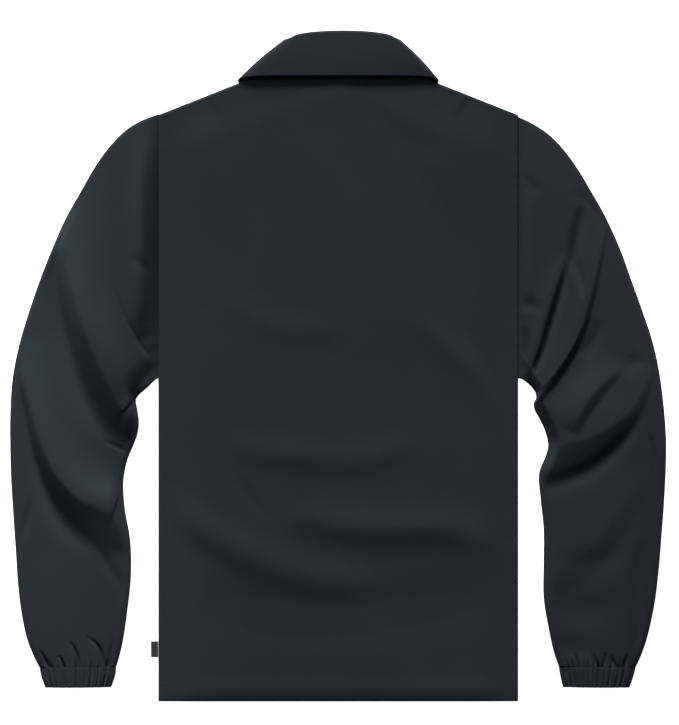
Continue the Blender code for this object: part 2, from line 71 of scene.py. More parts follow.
# Body
HALF_WIDTH = 215.8
HEM_Y = -402.0
SHOULDER_END_Y = 301.0
SHOULDER_NECK_X = 119.5
SHOULDER_NECK_Y = 339.0
BACK_LEVEL = 5.0
BACK_AIR = 0.9
EDGE_FALL = 58.0
SIDE_FALL = 58.0
STACK_BEND = 0.8
SHOULDER_COSINE = 0.93
HEM_FALL_RATE = 1.6
HEM_START = 30.0
HEM_RISE = 0.9
HEM_RISE_REACH = 34.0
HEM_BAND = 0.07
HEM_BAND_EDGE = 4.0
HEM_BAND_RAMP = 8.0
HEM_SEAM_DIP = 0.03
HEM_SEAM_WIDTH = 1.2
HEM_SEAM_STEPS = (-2.2, -1.1, 0.0, 1.1, 2.2)
SIDE_ROLL = 2.6
SIDE_ROLL_DROP = 1.3
SIDE_ROLL_STEPS = (0.0, 0.12, 0.45, 1.0, 1.7, 2.6, 4.2, 6.4)
BACK_PITCH = 3.05
FRONT_PITCH = 5.0
LEAST_STEP_SHARE = 0.3

# Puckers beside a seam: how their waves run, drift and swell along it, then reach and height
PUCKER_RUN = 2.3
PUCKER_DRIFT = 1.7
PUCKER_DRIFT_RUN = 17.0
PUCKER_SWELL = 0.4
PUCKER_SWELL_RUN = 29.0
SIDE_PUCKER = (7.0, 0.12)
HEM_PUCKER = (18.0, 0.06)
ARMHOLE_PUCKER = (9.0, 0.2)
ARMHOLE_PUCKER_START = 3.0

# Placket and snaps
PLACKET_LAP = 17.0
PLACKET_LIFT = 1.05
PLACKET_RAMP = 9.0
PLACKET_MARGIN = 2.0
PLACKET_FOOT = PLACKET_LAP + PLACKET_MARGIN + PLACKET_RAMP

# Room round the collar's neck seam
NECK_CLEAR_X = 0.8
NECK_CLEAR_Y = 0.5
NECK_CORNER_X = 78.0
NECK_CORNER_RAMP = 8.0
NECK_CORNER_CLEAR = 0.9

# Room under the fronts for the collar's front points
LEAF_LIFT = 1.65
LEAF_LOW_Y = 172.0
LEAF_POINT_X = 55.0
LEAF_POINT_Y = 221.0
LEAF_SPREAD = 0.52
LEAF_RAMP = 12.0
LEAF_MARGIN = 54.0

# Sleeves
SLEEVE_START_X = HALF_WIDTH + 0.05
EDGE_START = 2.2
EDGE_HEIGHT = 3.4
EDGE_RADIUS = 5.0
FLOOR_RADIUS = 2.2
SLEEVE_CROWN = 8.0
CUFF_CROWN = 7.5
CUFF_BLEND = 95.0
LENS_POWER = 0.75
LOWEST_TOP = 2.9
LOW_BEND = 1.0
EDGE_FADE = 15.0
UNDER_EDGE_FADE = 14.0
ARMHOLE_START = 1.3
ARMHOLE_REACH = 19.0
ARMHOLE_STEEPNESS = 2.4
TOP_EDGE_STEPS = (0.0, 0.12, 0.5, 1.1, 2.0, 3.3, 5.0)
FLOOR_EDGE_STEPS = (0.0, 0.15, 0.6, 1.3, 2.2)
SLEEVE_TOP_SEGMENTS = 118
SLEEVE_FLOOR_SEGMENTS = 22
SLEEVE_ROWS = 290
GATHER_REACH = 13.0

# Cuffs
CUFF_TOP_SEGMENTS = 170
CUFF_FLOOR_SEGMENTS = 60
CUFF_ROWS = 30
GATHER_EDGE_FADE = 4.0
CASING_SEAM = 2.4
CASING_DIP = 0.15
CASING_LIP = 1.0
FINE_GATHER = 0.15
FINE_GATHER_RATE = 2.9
FINE_GATHER_DRIFT = 2.0
FINE_GATHER_DRIFT_RATE = 17.0
UNDER_GATHER = 0.5
UNDER_GATHER_RATE = 1.9
UNDER_GATHER_DRIFT = 1.5
UNDER_GATHER_DRIFT_RATE = 0.31

# Collar
COLLAR_LEAN = 5.5
COLLAR_CROWN_SHARE = 0.35
LEAN_REACH = 60.0
LEAF_RIGHT_DROP = 1.4
LEAF_DROP_REACH = 110.0
STAND_SEGMENTS = 10
ROLL_SEGMENTS = 12
LEAF_SEGMENTS = 34
COLLAR_ROWS = 260

# Stitching, with the placket's rows for the left front and the right one
STITCH_MARGIN = 3.0
STITCH_SINK = 0.16
STITCH_BATCH = 24
STITCH_HALF_SHARE = 0.42
STITCH_LOOK_AHEAD = 0.4
STITCH_ENDS = 4
BACK_HEM_STEPS = 200
FRONT_HEM_STEPS = 120
PLACKET_STEPS = 160
LEAF_STITCH_COLUMN = 4
CASING_STITCH_ROW = 3
UPPER_STITCHES = slice(len(TOP_EDGE_STEPS), CUFF_TOP_SEGMENTS + len(TOP_EDGE_STEPS))
FLOOR_START = UPPER_STITCHES.stop + len(TOP_EDGE_STEPS) + len(FLOOR_EDGE_STEPS)
FLOOR_STITCHES = slice(FLOOR_START, -len(TOP_EDGE_STEPS))
PLACKET_ROWS = {-1.0: (-17.0, 15.0), 1.0: (19.5,)}

# Snap caps: radius and height from the table, up the cap's outside
CAP_PROFILE = (
    (0.0, 0.1), (3.5, 0.1), (4.2, 0.02), (5.6, 0.0), (6.2, 0.12), (6.5, 0.4), (6.4, 0.62), (6.0, 0.75),
    (0.0, 0.75),
)
CAP_SEGMENTS = 48
SNAP_COUNT = 5

# Side tag, a folded ribbon
TAG_Y = -339.6
TAG_WIDTH = 19.2
TAG_START_X = -216.1
TAG_END_X = -224.3
TAG_LOW = 0.95
TAG_HIGH = 1.85
TAG_BEND_STEPS = 8
TAG_WALL = 0.25
TAG_FLAT_STEPS = 8
TAG_WIDTH_STEPS = 16

# Weaves in metres, and how much lighter or darker their unevenness makes the cloth
RIB_PITCH = 0.0058
CASING_RIB_PITCH = 0.0042
THREAD_PITCH = 0.0011
RIBBON_RIB_PITCH = 0.0007
SELVEDGE = 0.0019
CLOTH_ROUGHNESS = 0.88
CASING_SHADE = 0.97
RIB_SHADE = 0.022
SLUB_SHADE = 0.05
DYE_SHADE = 0.06
FLECK_SHADE = 0.04

# Table, and the point that the camera looks down on, in metres
TABLE_HALF_WIDTH = 6.0
TABLE_DROP = 0.0003
CAMERA_X = 0.0015
CAMERA_Y = 0.0042
SENSOR_WIDTH = 36.0

# Soft panel past the jacket's left shoulder, in metres
PANEL_SIZE = (0.7, 0.7)
PANEL_PLACE = (-0.9, 0.8, 0.6)

# Beam beside the broad light, which lightens the left forearm, in metres
BEAM_PLACE = (-0.40, 1.0, 0.46)
BEAM_TARGET = (-0.335, -0.275, 0.0)
BEAM_WIDTH = math.radians(10.0)
BEAM_SOFTNESS = 0.15

# Folds
FOLD_STEPS = 5
LEAST_HALF_WIDTH = 1.0
FOLD_FOOT = 0.09
FACE_POWER = 1.25

Section = namedtuple("Section", "outer_x outer_y inner_x inner_y")
Fold = namedtuple("Fold", "rises reach places")
Station = namedtuple(
    "Station",
    "turn neck_x neck_y neck_z fold_x fold_y fold_z edge_x edge_y edge_z roll crown",
)


def tube_sections(*rows):
    """A table of a tube's sections."""
    return [Section(*row) for row in rows]


def soft(*line):
    """A fold that is soft on both sides, through the places of its line."""
    return Fold("soft", 0, line)


def steep(side, reach, *line):
    """A fold with one steep side, which fades away past its crest over its reach."""
    return Fold(side, reach, line)


# Sleeve sections run from the armhole seam to the cuff: the outer edge's point, then the inner edge's
LEFT_SECTIONS = tube_sections(
    (-SLEEVE_START_X, 302.0, -SLEEVE_START_X, -14.4), (-236.7, 294.0, -218.0, -15.6),
    (-255.9, 282.0, -220.5, -17.4), (-275.1, 262.2, -224.1, -21.0), (-291.9, 238.8, -228.3, -25.2),
    (-309.9, 207.6, -233.1, -29.4), (-327.9, 175.2, -237.3, -33.0), (-344.7, 136.8, -241.5, -37.8),
    (-357.9, 103.2, -242.7, -43.2), (-371.1, 64.8, -241.1, -51.0), (-383.1, 24.0, -239.1, -64.8),
    (-390.9, -16.8, -240.3, -79.2), (-393.5, -58.8, -245.1, -93.6), (-393.5, -100.8, -252.9, -112.8),
    (-392.1, -142.8, -257.7, -138.0), (-389.7, -180.0, -255.9, -170.4), (-386.9, -220.8, -249.3, -210.0),
    (-384.3, -260.4, -248.7, -253.2), (-380.1, -295.2, -252.9, -292.8), (-373.5, -326.4, -257.7, -326.4),
    (-365.1, -348.0, -262.5, -348.0), (-358.5, -361.2, -266.1, -360.2),
)
RIGHT_SECTIONS = tube_sections(
    (SLEEVE_START_X, 298.8, SLEEVE_START_X, -14.4), (232.5, 291.0, 217.5, -15.0),
    (251.7, 278.4, 221.1, -16.2), (269.7, 260.4, 225.3, -19.2), (286.5, 237.6, 229.5, -22.8),
    (304.5, 207.6, 233.7, -27.6), (321.3, 177.6, 236.9, -33.0), (338.1, 140.4, 237.1, -39.6),
    (350.7, 105.6, 234.3, -45.6), (364.5, 67.2, 236.1, -54.0), (376.5, 31.2, 242.1, -64.8),
    (384.9, -6.0, 248.1, -78.0), (390.3, -46.8, 251.7, -93.6), (393.3, -88.8, 248.7, -108.0),
    (392.7, -127.2, 240.7, -129.6), (390.7, -165.6, 242.7, -159.6), (387.9, -202.8, 246.3, -195.6),
    (384.9, -240.0, 246.3, -235.2), (380.1, -280.8, 246.3, -277.2), (372.3, -319.2, 252.3, -314.4),
    (363.9, -345.6, 258.3, -342.0), (356.7, -361.2, 264.5, -360.2),
)
LEFT_CUFF_SECTIONS = tube_sections(
    (-358.0, -361.25, -266.5, -360.25), (-356.9, -369.0, -266.9, -368.0),
    (-354.6, -377.0, -269.2, -376.4), (-351.4, -385.6, -272.2, -385.0),
)
RIGHT_CUFF_SECTIONS = tube_sections(
    (356.6, -361.25, 264.6, -360.25), (355.0, -369.0, 265.6, -368.0), (352.4, -377.0, 267.4, -376.4),
    (349.2, -385.6, 269.6, -385.0),
)

# Folds, each as the places of its line: x, y, half width and height, negative for a trough. A steep
# one climbs over its half width on the side it names, seen along the line, then falls over its reach
LEFT_FOLDS = [
    # The deep fold from the upper arm into the elbow
    steep("left", 34,
        (-350.5, 211, 12, 0), (-346, 169, 14, 4.5), (-341, 125, 17, 9.5), (-335, 79, 20, 14),
        (-326.5, 36, 25, 16.5), (-316, -5, 30, 16), (-301.5, -44.5, 34, 13), (-280, -79, 33, 8.6),
        (-250, -92.5, 30, 6.6), (-226, -97, 28, 6.2),
    ),
    # Its hollow foot
    soft(
        (-344.5, 169, 12, 0), (-340, 125, 13, -3.5), (-334, 79, 15, -5.5), (-325.5, 36, 17, -6.5),
        (-313.5, -2.5, 18, -5.5), (-299, -41, 16, -4), (-278.5, -73, 12, -1.5), (-257, -87.5, 10, 0),
    ),
    # The fold below it, from the outer edge to the inside of the elbow
    steep("left", 36,
        (-390.5, 31, 6, 0), (-385.5, -5, 7, 3), (-379.5, -35, 8, 6), (-373.5, -66, 10, 9),
        (-366.5, -98.5, 13, 11.5), (-356.5, -132, 18, 13), (-343.5, -163, 27, 12.6),
        (-326.5, -189.5, 38, 11.7), (-305, -210, 45, 9.9), (-282.5, -222, 44, 7.7),
        (-257, -224.5, 36, 5.4), (-235.5, -224.5, 30, 4.5),
    ),
    # Its hollow foot
    soft(
        (-384.5, -11, 6, 0), (-377, -47, 7, -2.5), (-368.5, -86.5, 9, -4), (-358, -125, 11, -5),
        (-343.5, -161, 13, -5), (-325.5, -188.5, 13, -3.5), (-304, -209, 11, -1.5), (-281, -219.5, 9, 0),
    ),
    # Its thin end, turning down the forearm
    soft(
        (-290.5, -215, 6.5, 0), (-282.5, -228, 6.5, -1.1), (-271.5, -245, 6.5, -1.7),
        (-263, -261.5, 6.5, -1.4), (-259.5, -281, 6.5, -0.8), (-258.5, -305, 6.5, 0),
    ),
    # Thin crease into the underarm
    soft(
        (-272.5, 101, 2.8, 0), (-266.5, 84, 2.8, -0.6), (-259.5, 67, 2.8, -0.9),
        (-248.5, 45.5, 2.8, -0.9), (-238, 26.5, 2.8, -0.9), (-226, 12, 2.8, -0.5),
    ),
    # Puff of the sleeve beside the armhole
    soft(
        (-233, 277, 10, 0), (-238, 223, 11, 4.5), (-239, 151, 11, 7), (-239, 79, 11, 7),
        (-235.5, 31, 9, 0),
    ),
    # Pinch at the armhole seam
    soft(
        (-251, 132, 6, 0), (-244, 128.5, 6, -0.8), (-236.5, 122.5, 6, -1.2), (-228.5, 116.5, 6, -1),
        (-220, 115, 6, 0),
    ),
    # Small marks
    soft((-282.5, 151, 6, 0), (-282.5, 109, 6, -0.6), (-281, 79, 6, -0.7), (-280, 53, 6, 0)),
    soft((-366.5, -155, 4, 0), (-371, -175, 4, -1), (-376, -194.5, 4, -1.2), (-379.5, -209, 4, 0)),
    soft((-283.5, -89, 3, 0), (-266.5, -96, 3, -1.2), (-252.5, -104.5, 3, -1)),
    # Gathers that the elastic sends up the sleeve
    soft(
        (-358, -341, 2, 0), (-353, -349, 2.2, -2), (-348.5, -357.5, 2.4, -3), (-343.5, -365, 2.4, -2.5),
    ),
    soft((-336.5, -347, 2, 0), (-331.5, -351.5, 2, -1.5), (-328, -362.5, 2.2, -2)),
    soft(
        (-322, -329, 2, 0), (-316, -338.5, 2.2, -2), (-312.5, -349, 2.4, -3.2), (-311, -362.5, 2.4, -3),
    ),
    soft(
        (-302.5, -324, 2, 0), (-293, -330, 2.2, -1.5), (-286, -338.5, 2.2, -2.5),
        (-282.5, -350.5, 2.4, -3), (-281, -362.5, 2.4, -2),
    ),
    soft((-269, -326.5, 3, 0), (-271.5, -341, 3, -1.5), (-272.5, -355, 3, -2), (-274, -362.5, 3, -2)),
    # Low cloth at the underarm
    soft((-217.5, 5, 14, 0), (-227, -14.5, 16, -4), (-239, -33.5, 17, -5), (-242.5, -53, 12, 0)),
]
RIGHT_FOLDS = [
    # The deep fold across the elbow
    steep("right", 75,
        (382.5, 0, 5, 0), (375.5, -24, 8, 1.9), (365.5, -50.5, 12, 4.1), (352.5, -74.5, 19, 6.5),
        (333.5, -98.5, 28, 7.9), (311.5, -117.5, 36, 8.7), (286.5, -131, 41, 9.5),
        (261.5, -139, 43, 9.5), (242, -144, 42, 9.1), (224, -146.5, 42, 8.3),
    ),
    # Its hollow foot
    soft(
        (368, -53, 5, 0), (350, -79, 7, -1.2), (328.5, -103, 9, -2), (304.5, -122.5, 10, -2.2),
        (278, -135.5, 10, -2), (248, -144, 10, -1.5), (227.5, -147.5, 10, -1.5),
    ),
    # The long narrow fold above it, down to the underarm
    steep("right", 26,
        (325, 173, 4, 0), (319, 137, 4.5, 2.5), (311.5, 101, 5, 3.8), (305.5, 74.5, 6, 4.6),
        (297.5, 45.5, 7, 5.4), (285.5, 17, 8, 6), (268.5, -12, 10, 6.5), (253, -32.5, 12, 7),
        (239.5, -44.5, 14, 7), (223, -55, 15, 6.5),
    ),
    # Sharp crease beside it
    soft(
        (275.5, 134.5, 4, 0), (272, 115, 5, -2), (266, 91, 5.5, -3.2), (260, 69.5, 6, -3.6),
        (251.5, 43, 6, -3.6), (244.5, 19, 6, -3.6), (238.5, 2.5, 5, -2.5), (235, -9.5, 4, 0),
    ),
    # Its dark side
    steep("right", 14,
        (278, 132, 5, 0), (273.5, 110.5, 7, 2.5), (267.5, 89, 8, 4), (261.5, 67, 8, 4.5),
        (254, 41, 8, 4.5), (247, 19, 8, 4.5), (239.5, 0, 8, 3), (233.5, -17, 7, 0),
    ),
    # Forked crease at their top
    soft(
        (292.5, 194.5, 6, 0), (289, 173, 7, -3), (285.5, 151, 7.5, -4.5), (284, 129.5, 7.5, -4.8),
        (287.5, 113, 6, -4), (291.5, 96, 4.5, -2.5), (292.5, 81.5, 4, 0),
    ),
    # Dark slope of the cloth over the elbow
    steep("right", 22,
        (345.5, -5, 6, 0), (329.5, -21.5, 10, 3), (316.5, -37, 12, 5), (304.5, -54, 12, 5),
        (295, -69.5, 11, 3.5), (286.5, -84, 9, 0),
    ),
    soft((314, 56.5, 8, 0), (309.5, 38.5, 8, -1.2), (299.5, 20.5, 8, -1.2), (295, 8.5, 8, 0)),
    soft((362, 14.5, 9, 0), (352.5, 2.5, 9, -1.2), (338, -5, 9, 0)),
    soft((371.5, -79, 2.5, 0), (376.5, -95, 2.5, -1), (380, -113, 2.5, -1.2), (381.5, -137, 2.5, 0)),
    soft(
        (362, -209, 7, 0), (358.5, -245, 8, -1.2), (358.5, -293, 8, -1.2), (357.5, -329, 6, -1.5),
        (355, -347, 5, 0),
    ),
    soft(
        (251.5, -228, 13, 0), (280.5, -235, 13, -0.8), (307, -235, 13, -0.9), (328.5, -228, 13, -0.5),
        (350, -221, 13, 0),
    ),
    soft(
        (254, -283, 16, 0), (278, -291.5, 16, -0.9), (299.5, -294, 16, -0.9), (321.5, -285.5, 16, -0.5),
        (345.5, -278.5, 16, 0),
    ),
    soft((261.5, -326.5, 12, 0), (278, -338.5, 12, -0.9), (302, -343, 12, -0.6), (323.5, -348, 12, 0)),
    # Pinches at the armhole seam
    soft((208.5, 75.5, 8, -2), (223, 74.5, 8, -2), (237.5, 71, 8, -1), (249.5, 68.5, 8, 0)),
    soft((220.5, 48, 6, 0), (223, 24, 8, -3), (219.5, 2.5, 7, -4), (215.5, -14.5, 6, -4)),
    soft((218, 233, 7, 0), (230, 216, 7, -1.2), (244.5, 204, 7, 0)),
    soft((280.5, 209, 6, 0), (296, 198, 6, -1), (314, 182.5, 6, -0.6), (321.5, 175, 6, 0)),
    # Gathers that the elastic sends up the sleeve
    soft((283, -343, 2, 0), (286.5, -353, 2.2, -1.5), (287.5, -362.5, 2.4, -2)),
    soft((304.5, -343, 2, 0), (308, -353, 2.2, -1.8), (311.5, -362.5, 2.4, -2.2)),
    soft((320, -343, 2, 0), (319, -353, 2.2, -1.8), (316.5, -362.5, 2.4, -2)),
    soft((326, -345.5, 2, 0), (329.5, -354, 2.2, -1.5), (333.5, -362.5, 2.4, -1.8)),
    soft((347.5, -343, 2, 0), (344, -353, 2.2, -1.6), (340.5, -362.5, 2.4, -2)),
    # Low cloth at the underarm
    soft((217, 5, 14, 0), (226.5, -12, 14, -4), (235, -26.5, 13, -3), (241, -39.5, 10, 0)),
    # Gentle slope down the forearm
    steep("right", 60,
        (376.5, -125, 16, 0), (362, -167, 20, 1.5), (338, -209, 24, 2.5), (309.5, -245, 26, 2.5),
        (273.5, -271, 26, 2), (242, -285.5, 24, 1),
    ),
]
BACK_FOLDS = [
    # Long soft fold from the left side seam
    soft(
        (-226, -161, 20, 1.3), (-190, -179, 20, 2.5), (-154, -200.5, 21, 2.9), (-118, -221, 22, 2.9),
        (-82, -236.5, 22, 2.5), (-40, -251, 22, 2), (8, -260.5, 22, 1.6), (62, -266.5, 22, 0),
    ),
    # Broad hollow under it
    soft(
        (-178, -281, 30, 0), (-118, -295, 32, -1.3), (-22, -302.5, 32, -1.6), (74, -295, 32, -1.3),
        (170, -281, 30, -0.9), (218, -275, 30, 0),
    ),
    # Fold across the small of the back
    soft(
        (-64, -175, 18, 0), (-34, -183.5, 19, 1.8), (8, -192, 20, 2.9), (56, -194.5, 20, 3.1),
        (104, -193, 20, 2.9), (146, -197, 20, 2.2), (176, -215, 20, 1.3), (194, -251, 20, 0),
    ),
    # Fainter folds above it
    soft(
        (-136, -89, 16, 0), (-106, -99.5, 16, 1.3), (-64, -105.5, 16, 1.7), (-10, -111.5, 16, 1.6),
        (38, -110.5, 16, 1.2), (80, -95, 16, 0.7), (98, -89, 16, 0),
    ),
    soft(
        (-139.5, 91, 15, 0), (-112, 65, 15, 0.8), (-70, 45.5, 16, 1.1), (-22, 42, 16, 1), (8, 43, 15, 0),
    ),
    # Pull from the neck to the right underarm
    soft(
        (83.5, 259, 12, 0), (104, 223, 12, -1.3), (122, 181, 14, -1.6), (136.5, 139, 15, -1.3),
        (153.5, 85, 16, -1.5), (172.5, 31, 18, -1.7), (191.5, -11, 18, -1.6), (218, -35, 18, -1.1),
    ),
    soft(
        (68, 79, 15, 0), (95.5, 53, 16, 1), (128, 25, 18, 1.5), (158, -2.5, 18, 1.5),
        (188, -35, 18, 1.1), (218, -53, 18, 0.7),
    ),
    soft(
        (8, 329, 18, 0), (40.5, 305, 18, -0.8), (71.5, 273.5, 18, -1), (104, 257, 18, -0.7),
        (122, 249.5, 18, 0),
    ),
    soft((-120.5, -132, 6, 0), (-110.5, -149, 6, -0.7), (-98.5, -167, 6, -0.7), (-84.5, -185, 6, 0)),
    # Small pulls at the side seams
    soft((-218.5, -134.5, 4, -1), (-202, -140.5, 4, -1.2), (-178, -149, 4, 0)),
    soft((-218.5, -209, 5, -1.5), (-204.5, -218.5, 5, -1.5), (-190, -228, 5, 0)),
    soft((218, -204, 5, -1), (203.5, -210, 5, -1), (189.5, -215, 5, 0)),
]
FRONT_FOLDS = [
    soft((-190, -60, 14, 0), (-150, -90, 15, 1.1), (-95, -104, 15, 1.3), (-50, -98, 14, 0)),
    soft((-180, -215, 13, 0), (-130, -228, 14, 1.0), (-70, -222, 13, 0)),
    soft((60, -130, 15, 0), (110, -152, 16, 1.2), (165, -150, 15, 0.9), (205, -135, 14, 0)),
    soft((70, 40, 13, 0), (120, 12, 14, 0.9), (170, -2, 13, 0)),
    soft((-205, 80, 12, 0), (-160, 92, 13, 0.8), (-110, 84, 12, 0)),
]
# The same for the sleeve's side on the table, for one side of the body and mirrored for the other
UNDER_FOLDS = [
    soft((-360, 70, 9, 0), (-320, 20, 10, 1.2), (-275, -12, 9, 1.0), (-240, -20, 8, 0)),
    soft((-385, -60, 9, 0), (-340, -95, 10, 1.1), (-290, -108, 9, 0.8), (-262, -110, 8, 0)),
    soft((-375, -185, 8, 0), (-330, -205, 9, 0.9), (-280, -208, 8, 0)),
    soft((-300, 180, 8, 0), (-262, 140, 9, 0.9), (-232, 90, 8, 0)),
]

# Where the elastic's gathers dip: a share of the cuff's width from its outer edge, depth, half width
LEFT_GATHERS = (
    (0.035, 0.7, 1.6), (0.096, 1.5, 1.5), (0.174, 1.3, 1.4), (0.235, 0.6, 1.2), (0.326, 1.7, 1.5),
    (0.405, 1.1, 1.4), (0.485, 1.6, 1.5), (0.545, 0.5, 1.2), (0.60, 0.8, 1.3), (0.679, 1.3, 1.5),
    (0.735, 0.5, 1.1), (0.775, 1.0, 1.3), (0.874, 1.5, 1.5), (0.94, 0.9, 1.4),
)
RIGHT_GATHERS = (
    (0.045, 0.8, 1.5), (0.142, 1.4, 1.5), (0.222, 1.1, 1.3), (0.328, 1.3, 1.4), (0.40, 0.5, 1.2),
    (0.487, 1.9, 1.5), (0.553, 1.0, 1.2), (0.619, 1.5, 1.4), (0.672, 1.2, 1.2), (0.745, 0.6, 1.2),
    (0.818, 1.3, 1.4), (0.884, 1.4, 1.4), (0.95, 0.8, 1.3),
)

CUFFS = (
    ("left", LEFT_CUFF_SECTIONS, LEFT_GATHERS),
    ("right", RIGHT_CUFF_SECTIONS, RIGHT_GATHERS),
)

# Half of the collar, from the middle of the back round the left side to the left front point
COLLAR_HALF = [
    Station(0, 0.0, 356.5, 4.7, 0.0, 402.0, 5.4, 0.0, 347.5, 10.4, 2.6, 1.5),
    Station(0, -34.0, 356.2, 4.7, -30.0, 401.0, 5.4, -38.0, 347.5, 10.6, 2.6, 1.5),
    Station(0, -64.0, 355.0, 4.6, -52.0, 398.0, 5.3, -76.0, 347.3, 10.4, 2.6, 2.0),
    Station(0, -82.0, 352.8, 4.5, -63.0, 393.5, 5.1, -102.0, 346.5, 9.7, 2.4, 3.0),
    Station(35, -89.0, 351.2, 4.2, -66.0, 391.0, 4.7, -113.5, 345.0, 8.0, 2.0, 4.5),
    Station(90, -92.0, 349.0, 3.0, -67.0, 389.0, 4.6, -119.3, 343.2, 6.0, 1.5, 5.5),
    Station(145, -91.5, 345.0, 2.35, -66.0, 386.0, 3.2, -120.2, 342.2, 2.2, 1.1, 3.5),
    Station(180, -90.0, 340.0, 2.35, -64.0, 381.0, 2.35, -119.6, 339.0, 0.68, 0.83, 0.0),
    Station(180, -85.0, 328.0, 2.35, -58.0, 369.0, 2.35, -114.0, 318.0, 0.68, 0.83, 0.0),
    Station(180, -73.0, 307.0, 2.35, -45.0, 342.0, 2.35, -101.0, 285.0, 0.68, 0.83, 0.0),
    Station(180, -50.0, 283.0, 2.35, -27.0, 313.0, 2.35, -81.0, 251.0, 0.68, 0.83, 0.0),
    Station(180, -24.0, 267.5, 2.35, -11.0, 295.0, 2.35, -63.0, 229.0, 0.68, 0.83, 0.0),
    Station(180, -4.0, 262.5, 2.35, -4.0, 288.0, 2.35, -55.0, 221.0, 0.68, 0.83, 0.0),
]
SIDE_ROW = 5


class JacketCloth(bpy.types.PropertyGroup):
    """Sizes of the cloth and its sewing"""

    thickness: FloatProperty(
        name="Cloth thickness",
        description="Thickness of one layer of shell cloth",
        default=0.0007, min=0.0003, max=0.0012, unit="LENGTH", subtype="DISTANCE",
    )
    collar_thickness: FloatProperty(
        name="Collar thickness",
        description="Thickness of the collar's two layers and what stiffens them",
        default=0.0013, min=0.0007, max=0.0013, unit="LENGTH", subtype="DISTANCE",
    )
    hem_depth: FloatProperty(
        name="Hem depth",
        description="Depth of the turned-up hem, from the edge to its stitches",
        default=0.022, min=0.01, max=0.04, unit="LENGTH", subtype="DISTANCE",
    )
    stitch_length: FloatProperty(
        name="Stitch length",
        description="Length of one stitch and the step to the next",
        default=0.0028, min=0.002, max=0.005, unit="LENGTH", subtype="DISTANCE",
    )
    thread_radius: FloatProperty(
        name="Thread radius",
        description="Radius of the sewing thread",
        default=0.00018, min=0.0001, max=0.0005, unit="LENGTH", subtype="DISTANCE",
    )
    crease_depth: FloatProperty(
        name="Crease depth",
        description="Depth of all creases, as a share of the depth they were drawn at",
        default=1.0, min=0.0, max=1.15, subtype="FACTOR",
    )


class JacketColours(bpy.types.PropertyGroup):
    """Colours of the jacket's finishes"""

    cloth: FloatVectorProperty(
        name="Shell cloth",
        description="Colour of the shell cloth",
        default=(0.0240, 0.0286, 0.0314), min=0.0, max=1.0, size=3, subtype="COLOR",
    )
    thread: FloatVectorProperty(
        name="Thread",
        description="Colour of the sewing thread",
        default=(0.0200, 0.0241, 0.0265), min=0.0, max=1.0, size=3, subtype="COLOR",
    )
    snap: FloatVectorProperty(
        name="Snap caps",
        description="Colour of the painted snap caps",
        default=(0.016, 0.017, 0.019), min=0.0, max=1.0, size=3, subtype="COLOR",
    )
    tag: FloatVectorProperty(
        name="Side tag",
        description="Colour of the woven tag",
        default=(0.03, 0.0295, 0.0235), min=0.0, max=1.0, size=3, subtype="COLOR",
    )


class JacketStage(bpy.types.PropertyGroup):
    """The table, lights and camera"""

    floor: FloatVectorProperty(
        name="Table",
        description="Colour of the table top",
        default=(0.93, 0.93, 0.93), min=0.0, max=1.0, size=3, subtype="COLOR",
    )
    table_glow: FloatProperty(
        name="Table glow",
        description="Strength of the light that the lit table gives off",
        default=1.0, min=0.0, max=2.0,
    )
    key_strength: FloatProperty(
        name="Key light",
        description="Strength of the broad light past the collar",
        default=6.5, min=0.0, max=20.0,
    )
    key_softness: FloatProperty(
        name="Key softness",
        description="How wide the broad light looks from the jacket",
        default=math.radians(18.0), min=0.0, max=math.radians(60.0), unit="ROTATION", subtype="ANGLE",
    )
    key_height: FloatProperty(
        name="Key height",
        description="Angle of the broad light over the table",
        default=math.radians(19.0), min=math.radians(10.0), max=math.radians(90.0),
        unit="ROTATION", subtype="ANGLE",
    )
    key_turn: FloatProperty(
        name="Key turn",
        description="How far the broad light is turned towards the jacket's left sleeve",
        default=math.radians(4.0), min=-math.pi, max=math.pi, unit="ROTATION", subtype="ANGLE",
    )
    fill: FloatProperty(
        name="Fill light",
        description="Strength of the even light from all round",
        default=0.05, min=0.0, max=2.0,
    )
    side_panel: FloatProperty(
        name="Side panel",
        description="Strength of the soft panel past the jacket's left shoulder",
        default=4.4, min=0.0, max=100.0,
    )
    sleeve_beam: FloatProperty(
        name="Sleeve beam",
        description="Strength of the beam that lightens the left forearm",
        default=140.0, min=0.0, max=400.0,
    )
    lens: FloatProperty(
        name="Lens",
        description="Focal length of the camera in millimetres",
        default=186.0, min=50.0, max=400.0, unit="CAMERA",
    )
    view_height: FloatProperty(
        name="View height",
        description="Height of the picture on the table",
        default=0.870, min=0.5, max=2.0, unit="LENGTH", subtype="DISTANCE",
    )


def smooth(value):
    """A soft step from 0 to 1."""
    value = np.clip(value, 0.0, 1.0)
    return value * value * (3.0 - 2.0 * value)


def quarter_round(distance, radius):
    """A rounded edge's rise: 0 at the edge, upright there, and 1 past its radius."""
    share = np.clip(distance / radius, 0.0, 1.0)
    return np.sqrt(1.0 - (1.0 - share) ** 2)


def run_length(points):
    """How far each point of a line lies along it."""
    return np.concatenate([[0.0], np.cumsum(np.linalg.norm(np.diff(points, axis=0), axis=1))])


def places(start, end, pitch, extra=()):
    """Even places from start to end, with closer ones where a shape needs them."""
    count = max(1, math.ceil((end - start) / pitch))
    even = np.linspace(start, end, count + 1)
    least = pitch * LEAST_STEP_SHARE
    kept = [place for place in even if all(abs(place - other) > least for other in extra)]
    return np.array(sorted({start, end, *kept, *extra}))


def fold_line(fold):
    """The fold's places, joined by a smooth curve through them all."""
    steps = FOLD_STEPS * (len(fold.places) - 1)
    line = section_at(fold.places, np.linspace(0.0, 1.0, steps + 1))
    line[:, 2] = np.maximum(line[:, 2], LEAST_HALF_WIDTH)
    return line


